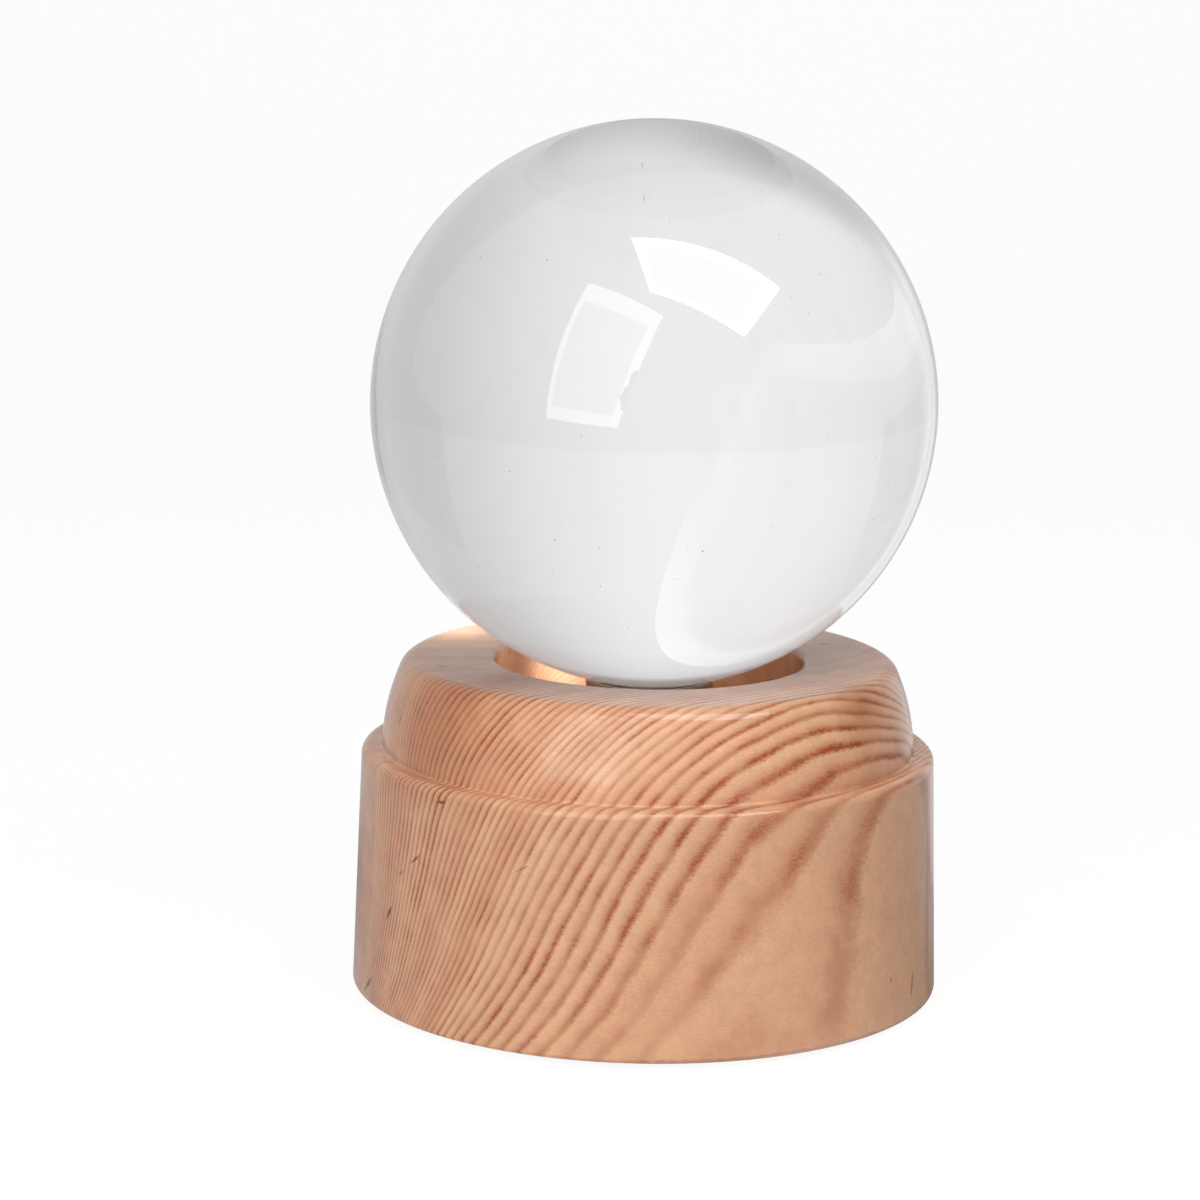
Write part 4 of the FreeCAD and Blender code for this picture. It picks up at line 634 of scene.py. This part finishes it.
    # A fleck's own axes run along the side of the block, into it and up, leaned in the side's plane.
    for spot, half_width, half_length, lean, depth in flecks:
        turned = (0, math.radians(lean), math.atan2(spot[1], spot[0]) + math.pi / 2)
        local = add_node(tree, "Mapping", {
            "Vector": millimetres, "Location": spot, "Rotation": turned,
            "Scale": (half_width, max(half_width, FLECK_DEEP_MM), half_length)},
            vector_type="TEXTURE")
        reach = add_node(tree, "VectorMath", {0: local.outputs[0]}, operation="LENGTH")
        edge = add_node(tree, "Math", {0: reach.outputs["Value"], 1: ragged}, operation="ADD")
        inside = add_node(tree, "MapRange", {"Value": edge.outputs[0], "From Min": FLECK_FULL,
                                             "From Max": FLECK_EDGE, "To Min": depth,
                                             "To Max": 0.0})
        colour = add_node(tree, "Mix", {0: inside.outputs[0], 6: colour, 7: linear(FLECK)},
                          data_type="RGBA").outputs[2]
    peel = add_node(tree, "Bump", {"Height": coarse, "Strength": 0.5,
                                   "Distance": PEEL_HIGH_MM * MM})
    peel = add_node(tree, "Bump", {"Height": fuzz, "Strength": 0.5,
                                   "Distance": FIBRE_HIGH_MM * MM, "Normal": peel.outputs[0]})
    under = add_node(tree, "Bump", {"Height": dark.outputs[0], "Strength": 0.2,
                                    "Distance": RING_HIGH_MM * MM})
    wood = add_node(tree, "BsdfPrincipled", {
        "Base Color": colour, "Roughness": 0.5, "Specular IOR Level": 0.12,
        "Coat Weight": 0.85, "Coat Roughness": 0.14, "Coat IOR": 1.5, "Normal": under.outputs[0],
        "Coat Normal": peel.outputs[0]})
    add_node(tree, "OutputMaterial", {"Surface": wood.outputs[0]})
    return finish


def give_finish(node, finish):
    """The finish replaces what a piece of the frame came with."""
    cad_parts[node].data.materials.clear()
    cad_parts[node].data.materials.append(finish)


give_finish("wood_base", wood_finish("lacquered_pine", EARLY_WOOD, EARLY_WOOD_DEEP, LATE_WOOD,
                                     FLECKS))

# Seat post: a round post of the same pine, turned with a dish for the ball and bored for the light
# guide, and glued with its tenon through the floor of the well. Its lines are paler and it has no
# flecks.

POST_EARLY, POST_DEEP, POST_LATE = "#D9B491", "#C99C76", "#9C6A48"
give_finish("seat_post", wood_finish("turned_pine", POST_EARLY, POST_DEEP, POST_LATE))

# Glass ball: a solid sphere of clear optical glass, moulded, ground and polished all over.
# It has no wear, only a few specks of dust and a trace of finger grease.

BALL_RADIUS = 0.040
BALL_ROWS, BALL_COLUMNS = 181, 288
GLASS_IOR = 1.52
# Dust shows as tiny dull specks, and grease as upright wipes that take a little light.
DUST_MM, DUST, DUST_CLARITY = 0.45, "#857D76", 0.35
DUST_FROM, DUST_TO = 0.885, 0.915
SMEAR_MM, SMEAR_LONG, SMEAR = 8.0, (1, 1, 3), "#FAF9F8"
SMEAR_FROM, SMEAR_TO, SMEAR_ROUGHNESS = 0.60, 0.72, 0.65
# Points nearer than this are one point.
SAME_POINT = 0.001 * MM
low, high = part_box("crystal_ball")
ball_centre = np.array((low + high) / 2)


def sphere_points(radius, centre, rows, columns):
    """Points on a sphere: rows of latitude from pole to pole, columns of longitude. A point is
    the centre plus the radius times (cos lat cos long, cos lat sin long, sin lat)."""
    latitude = np.linspace(-math.pi / 2, math.pi / 2, rows)[:, None]
    longitude = (np.arange(columns) / columns * 2 * math.pi)[None, :]
    way = np.stack(np.broadcast_arrays(np.cos(latitude) * np.cos(longitude),
                                       np.cos(latitude) * np.sin(longitude),
                                       np.sin(latitude)), axis=-1)
    return centre + radius * way


def close_poles(piece):
    """The points that lie on one spot, at the two ends of a closed grid, become one point."""
    merged = bmesh.new()
    merged.from_mesh(piece.data)
    bmesh.ops.remove_doubles(merged, verts=merged.verts, dist=SAME_POINT)
    merged.to_mesh(piece.data)
    merged.free()


ball_points = sphere_points(BALL_RADIUS, ball_centre, BALL_ROWS, BALL_COLUMNS)
ball = grid_mesh("glass_ball", ball_points, around=True)
close_poles(ball)
glass_finish = new_finish("polished_glass")
tree = glass_finish.node_tree
place = add_node(tree, "TexCoord").outputs["Object"]
specks = add_node(tree, "TexNoise", {"Vector": place, "Scale": 1 / (DUST_MM * MM), "Detail": 0.0})
dust = add_node(tree, "MapRange", {"Value": specks.outputs["Fac"], "From Min": DUST_FROM,
                                   "From Max": DUST_TO})
wiped = add_node(tree, "VectorMath", {0: place, 1: [1 / (SMEAR_MM * MM * s) for s in SMEAR_LONG]},
                 operation="MULTIPLY")
smears = add_node(tree, "TexNoise", {"Vector": wiped.outputs[0], "Scale": 1.0, "Detail": 5.0,
                                     "Roughness": SMEAR_ROUGHNESS})
smear = add_node(tree, "MapRange", {"Value": smears.outputs["Fac"], "From Min": SMEAR_FROM,
                                    "From Max": SMEAR_TO})
tint = add_node(tree, "Mix", {0: smear.outputs[0], 6: linear("#FFFFFF"), 7: linear(SMEAR)},
                data_type="RGBA")
tint = add_node(tree, "Mix", {0: dust.outputs[0], 6: tint.outputs[2], 7: linear(DUST)},
                data_type="RGBA")
clarity = add_node(tree, "MapRange", {"Value": dust.outputs[0], "To Min": 1.0,
                                      "To Max": DUST_CLARITY})
glass = add_node(tree, "BsdfPrincipled", {"Base Color": tint.outputs[2], "Roughness": 0.0,
                                          "IOR": GLASS_IOR,
                                          "Transmission Weight": clarity.outputs[0]})
add_node(tree, "OutputMaterial", {"Surface": glass.outputs[0]})
ball.data.materials.append(glass_finish)
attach(ball, "ball")
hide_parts("crystal_ball")

# Seat ring: a soft ring of clear silicone pressed into the top of the post, on which the ball
# rests without a scratch. Slightly milky, with the faint pull marks of its mould.

# The grain of a surface turns from its one tone to its other between these values of the noise,
# and its roughness varies within these shares.
GRAIN_FROM, GRAIN_TO, GRAIN_ROUGHNESS = 0.3, 0.7, 0.6
SMOOTHER, ROUGHER = 0.85, 1.2


def two_tone(name, light, dark, grain_mm, roughness, bump_mm, stretch=(1, 1, 1), more=None):
    """A finish of two close colours mixed by noise of a real grain size, with a roughness and a
    relief that follow the same noise. More gives values for other sockets of the shader."""
    finish = new_finish(name)
    tree = finish.node_tree
    place = add_node(tree, "TexCoord").outputs["Object"]
    pulled = add_node(tree, "VectorMath", {0: place, 1: [1 / (grain_mm * MM * s) for s in stretch]},
                      operation="MULTIPLY")
    grain = add_node(tree, "TexNoise", {"Vector": pulled.outputs[0], "Scale": 1.0, "Detail": 4.0,
                                        "Roughness": GRAIN_ROUGHNESS})
    share, rough = [
        add_node(tree, "MapRange", {"Value": grain.outputs["Fac"], "From Min": GRAIN_FROM,
                                    "From Max": GRAIN_TO, "To Min": low, "To Max": high})
        for low, high in ((0.0, 1.0), (roughness * SMOOTHER, roughness * ROUGHER))]
    colour = add_node(tree, "Mix", {0: share.outputs[0], 6: linear(light), 7: linear(dark)},
                      data_type="RGBA")
    relief = add_node(tree, "Bump", {"Height": grain.outputs["Fac"], "Strength": 0.5,
                                     "Distance": bump_mm * MM})
    shader = add_node(tree, "BsdfPrincipled", {
        "Base Color": colour.outputs[2], "Roughness": rough.outputs[0],
        "Normal": relief.outputs[0], **(more or {})})
    add_node(tree, "OutputMaterial", {"Surface": shader.outputs[0]})
    return finish


give_finish("seat_ring", two_tone("clear_silicone", "#F2F2F0", "#E6E6E2", 1.2, 0.22, 0.02,
                                  more={"IOR": 1.41, "Transmission Weight": 0.75}))

# Light guide: a short rod of clear acrylic that carries the light up through the post. Its ends
# are polished, and its side keeps fine turning marks that scatter a little light.

give_finish("light_guide", two_tone("clear_acrylic", "#FFFFFF", "#F4F7F8", 2.0, 0.05, 0.004,
                                    (1, 1, 0.1), {"IOR": 1.49, "Transmission Weight": 0.95}))

# Lamp board: a round fibreglass board under a white matt solder mask, with the weave just
# showing. The lamp on it is a moulded package filled with yellow resin, under a clear skin.

give_finish("led_board", two_tone("white_solder_mask", "#F1F1EC", "#E4E5DF", 0.6, 0.4, 0.01,
                                  more={"Coat Weight": 0.3}))
give_finish("led_package", two_tone("yellow_led_resin", "#F0CF52", "#E4B93C", 0.3, 0.25, 0.005,
                                    more={"Coat Weight": 0.6}))

# Screws: zinc plated steel with rolled threads, two in the lamp board, two in the driver and four
# countersunk ones in the cover. Bright and slightly blue, with the dull patches of barrel plating.

METAL = {"Metallic": 1.0}
zinc = two_tone("zinc_plated_steel", "#C9CDD2", "#AEB4BB", 0.5, 0.28, 0.004, more=METAL)
for node in ("led_screws", "cover_screws", "driver_screws"):
    give_finish(node, zinc)

# Bottom cover: a disc of black polystyrene under the block, held by four screws. It is moulded with
# a fine spark texture, so it looks matt with a faint grey sheen.

give_finish("bottom_cover", two_tone("black_moulded_plastic", "#1B1B1D", "#252527", 0.3, 0.5,
                                     0.03, more={"Specular IOR Level": 0.4}))

# Feet: four discs of black rubber glued under the cover. They are dull, and a little dusty from
# the table they stand on.

give_finish("rubber_feet", two_tone("black_rubber", "#1E1D1D", "#2E2D2C", 0.4, 0.8, 0.03,
                                    more={"Specular IOR Level": 0.25}))

# Driver: a green fibreglass board with a moulded chip, an aluminium can capacitor and small
# ceramic resistors soldered on. The mask is glossy, the chip matt, the can brushed.

give_finish("driver_board", two_tone("green_solder_mask", "#1E5A35", "#17472A", 0.7, 0.3, 0.012,
                                     more={"Coat Weight": 0.5}))
give_finish("driver_chip", two_tone("black_epoxy", "#1A1A1B", "#262627", 0.15, 0.55, 0.01))
give_finish("driver_capacitor", two_tone("brushed_aluminium", "#C6C7C9", "#A4A6AA", 0.25, 0.3,
                                         0.003, (1, 1, 12), METAL))
give_finish("driver_resistors", two_tone("resistor_ceramic", "#2A2522", "#3A3430", 0.2, 0.45,
                                         0.006))

# Power inlet: a black nylon socket with a plated brass pin, contact and lugs, held from inside
# by a nickel plated washer and nut. Nylon has a soft gloss, brass a warm shine and nickel a pale
# one.

black_nylon = two_tone("black_nylon", "#17171A", "#222226", 0.5, 0.32, 0.01)
brass = two_tone("plated_brass", "#D8C27C", "#BFA55E", 0.6, 0.22, 0.003, more=METAL)
nickel = two_tone("nickel_plated_steel", "#C4C1B8", "#A9A69D", 0.5, 0.24, 0.003, more=METAL)
give_finish("inlet_body", black_nylon)
for node in ("inlet_pin", "inlet_contact", "inlet_lugs"):
    give_finish(node, brass)
for node in ("inlet_washer", "inlet_nut"):
    give_finish(node, nickel)

# Push switch: a black nylon bush with a brown paper phenolic base, plated brass contacts, its
# own washer and nut, and a button with a collar that the bush holds in. The base shows its layers
# faintly, and the cap is glossier than the bush.

give_finish("switch_body", black_nylon)
give_finish("switch_base", two_tone("brown_phenolic", "#6B3F22", "#54301A", 0.5, 0.4, 0.008,
                                    (6, 6, 1)))
for node in ("switch_contacts", "contact_plate"):
    give_finish(node, brass)
for node in ("switch_washer", "switch_nut"):
    give_finish(node, nickel)
give_finish("push_button", two_tone("black_button_cap", "#131315", "#1D1D20", 0.8, 0.24, 0.006,
                                    more={"Coat Weight": 0.2}))

# Switch spring: four turns of hard drawn steel wire, bright with fine drawing marks, that stand on
# the base of the switch under the button's collar. The button shortens them as it goes in, and they
# push it out again.

# The radii of the coil's centre line and of the wire come after its turns.
SPRING_TURNS = 4
SPRING_RADIUS = 3.1 * MM
SPRING_WIRE = 0.22 * MM
SPRING_STEPS, WIRE_SIDES = 160, 12
# The switch lies at this height and looks outwards this way from the middle of the base.
SWITCH_HEIGHT = 13.8 * MM
SWITCH_WAY = np.array([0.438371, 0.898794, 0.0])


def coil_points(start, way, length):
    """Points on a coil of round wire. Its centre line runs along the way while it turns about it at
    the coil's radius, and the wire's section is a circle in the plane of the outward direction and
    the coil's axis, drawn in to a point at both ends."""
    turn = np.linspace(0, 2 * math.pi * SPRING_TURNS, SPRING_STEPS)[:, None]
    side = np.array([0.0, 0.0, 1.0])
    outward = np.cos(turn) * side + np.sin(turn) * np.cross(way, side)
    centres = start + outward * SPRING_RADIUS + way * (turn / turn[-1]) * length
    section = (np.arange(WIRE_SIDES) / WIRE_SIDES * 2 * math.pi)[None, :, None]
    thick = np.full(SPRING_STEPS, SPRING_WIRE)
    thick[[0, -1]] = 0.0
    ring = np.cos(section) * outward[:, None, :] - np.sin(section) * way
    return centres[:, None, :] + thick[:, None, None] * ring


bare = np.empty((len(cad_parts["switch_spring"].data.vertices), 3))
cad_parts["switch_spring"].data.vertices.foreach_get("co", bare.reshape(-1))
along = bare @ SWITCH_WAY
foot = np.array([0.0, 0.0, SWITCH_HEIGHT]) + SWITCH_WAY * (along.min() + SPRING_WIRE)
coil_length = along.max() - along.min() - 2 * SPRING_WIRE
spring = grid_mesh("coil_spring", coil_points(foot, SWITCH_WAY, coil_length), around=True)
close_poles(spring)
spring.data.materials.append(two_tone("spring_steel", "#9A9B9D", "#7F8083", 0.3, 0.25, 0.003,
                                      more=METAL))
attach(spring, "base")
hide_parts("switch_spring")
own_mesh(spring)

# Leads: five wires of stranded copper in soft vinyl sleeves, red and black, soldered from the
# inlet and the switch to the driver and on to the lamp board. The sleeves have a satin skin.

red_sleeve = two_tone("red_vinyl", "#B3211C", "#9C1A17", 0.8, 0.35, 0.01)
black_sleeve = two_tone("black_vinyl", "#17171A", "#212124", 0.8, 0.35, 0.01)
for node in ("lead_inlet_red", "lead_switch_red", "lead_led_red"):
    give_finish(node, red_sleeve)
for node in ("lead_inlet_black", "lead_led_black"):
    give_finish(node, black_sleeve)
